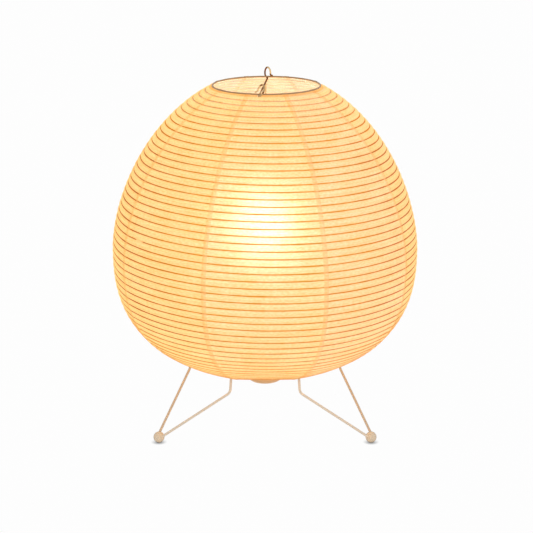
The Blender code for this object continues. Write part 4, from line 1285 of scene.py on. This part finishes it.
class LANTERN_OT_bulb(bpy.types.Operator):
    """Blow the lit opal bulb and roll its brass cap"""
    bl_idname = "lantern.bulb"
    bl_label = "Bulb"

    def execute(self, context):
        bulb = context.scene.lantern.bulb
        low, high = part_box("bulb_globe")
        opal = opal_glass(bulb, high.z - high.x, high.x)
        cap_low, cap_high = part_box("bulb_cap")
        neck = cap_high.x - NECK_INSET
        mesh = revolved("bulb_glass", globe_outline(low, high, neck, cap_high.z), 64)
        add_piece("bulb_glass", mesh, opal, "bulb", "opal_glass", "bulb_globe")
        mesh = thread_mesh(bulb, cap_low, cap_high)
        add_piece("bulb_screw_cap", mesh, brass(), "bulb", "brass", "bulb_cap")
        finish_nodes(brass(), "bulb_contact")
        vitrite = worked_finish("black_vitrite", (0.02, 0.02, 0.02), 0.2, mottle=0.3, scale=150.0, coat=0.3)
        finish_nodes(vitrite, "bulb_insulator")
        clear = worked_finish("clear_glass", (0.92, 0.94, 0.94), 0.06, mottle=0.02, spread=0.04,
                              transmission=0.9)
        finish_nodes(clear, "bulb_stem")
        coat = worked_finish("filament_coat", (0.95, 0.75, 0.25), 0.5, glow=bulb.warmth,
                             strength=bulb.brightness)
        coat.cycles.emission_sampling = "NONE"
        finish_nodes(coat, "bulb_filament")
        return {"FINISHED"}


# Stage

FLOOR_REACH = 40.0
FLOOR_GREY = (0.9, 0.9, 0.9, 1.0)
SHADOW_SIDE = {"Y": 0.5, "Z": 0.87}
SHADOW_POWER = 0.75
SENSOR = 36.0
SOFTBOXES = {"key": ((-0.4, -3.0, 1.3), 2.0), "top": ((0.0, -0.5, 3.2), 2.0), "fill": ((2.2, -1.6, 1.2), 1.6)}


def floor_finish(stage):
    """A white sweep that keeps only the soft shadow round each foot, as a lit table does in a studio."""
    material, w, shader = new_material("white_sweep")
    away = w.add("ShaderNodeCombineXYZ", SHADOW_SIDE).outputs[0]
    near = w.add("ShaderNodeAmbientOcclusion", {"Distance": stage.contact, "Normal": away}, samples=16)
    level = w.times(w.maths("POWER", near.outputs["AO"], SHADOW_POWER), stage.white)
    w.fill(shader, {"Base Color": FLOOR_GREY, "Roughness": 0.9})
    w.surface(w.straight_ray(), shader, w.add("ShaderNodeEmission", {"Strength": level}))
    return material


def studio_world(stage):
    """Even white surroundings: full white to the eye, and softer as light."""
    world = bpy.data.worlds.new("studio")
    world.use_nodes = True
    w = Wiring(world.node_tree)
    level = w.scaled(w.straight_ray(), stage.white - stage.ambient, stage.ambient)
    w.fill(world.node_tree.nodes["Background"], {"Color": opaque((1.0, 1.0, 1.0)), "Strength": level})
    bpy.context.scene.world = world


def softbox(name, place, target, size, power):
    """A large square light that faces a point."""
    lamp = bpy.data.lights.new(name, "AREA")
    lamp.shape = "SQUARE"
    lamp.size = size
    lamp.energy = power
    item = bpy.data.objects.new(name, lamp)
    item.location = place
    item.rotation_euler = (Vector(target) - Vector(place)).to_track_quat("-Z", "Y").to_euler()
    bpy.context.scene.collection.objects.link(item)


class LANTERN_OT_stage(bpy.types.Operator):
    """Lay the white floor, light the studio and set the camera"""
    bl_idname = "lantern.stage"
    bl_label = "Stage"

    def execute(self, context):
        stage = context.scene.lantern.stage
        solid = bmesh.new()
        bmesh.ops.create_grid(solid, x_segments=4, y_segments=4, size=FLOOR_REACH)
        mesh = smooth_mesh(solid, "studio_floor")
        ground = bpy.data.objects.new("studio_floor", mesh)
        context.scene.collection.objects.link(ground)
        mesh.materials.append(floor_finish(stage))
        studio_world(stage)
        centre = (0.0, 0.0, context.scene.lantern.shade.belly_height)
        for name, (place, size) in SOFTBOXES.items():
            softbox(name + "_softbox", place, centre, size, getattr(stage, name))
        camera = bpy.data.cameras.new("photo_camera")
        camera.lens = stage.camera_lens
        camera.sensor_width = SENSOR
        camera.shift_x = stage.camera_shift
        view = bpy.data.objects.new("photo_camera", camera)
        view.location = (0.0, -stage.camera_distance, stage.camera_height)
        view.rotation_euler = (pi / 2 - stage.camera_pitch, 0.0, 0.0)
        context.scene.collection.objects.link(view)
        context.scene.camera = view
        context.scene.view_settings.view_transform = "Standard"
        return {"FINISHED"}


OPERATORS = (
    LANTERN_OT_paper_gores, LANTERN_OT_bamboo_rib, LANTERN_OT_hem_rings, LANTERN_OT_stretcher,
    LANTERN_OT_wire_stand, LANTERN_OT_ball_feet, LANTERN_OT_hub_and_cap, LANTERN_OT_lampholder,
    LANTERN_OT_bulb, LANTERN_OT_stage,
)


class LANTERN_PT_lamp(bpy.types.Panel):
    """Lists the steps that dress the lamp"""
    bl_idname = "LANTERN_PT_lamp"
    bl_label = "Paper lantern"
    bl_space_type = "VIEW_3D"
    bl_region_type = "UI"
    bl_category = "Lantern"

    def draw(self, context):
        for operator in OPERATORS:
            self.layout.operator(operator.bl_idname)


CLASSES = (
    ShadeSettings, StandSettings, StretcherSettings, BulbSettings, StageSettings, LanternSettings,
    *OPERATORS, LANTERN_PT_lamp,
)


def register():
    """Register the settings, the operators and the panel."""
    for item in CLASSES:
        bpy.utils.register_class(item)
    bpy.types.Scene.lantern = PointerProperty(type=LanternSettings)


def unregister():
    """Remove the settings, the operators and the panel."""
    del bpy.types.Scene.lantern
    for item in reversed(CLASSES):
        bpy.utils.unregister_class(item)


def main():
    """Dress the lamp."""
    register()
    for operator in OPERATORS:
        family, name = operator.bl_idname.split(".")
        getattr(getattr(bpy.ops, family), name)()


if __name__ == "__main__":
    main()
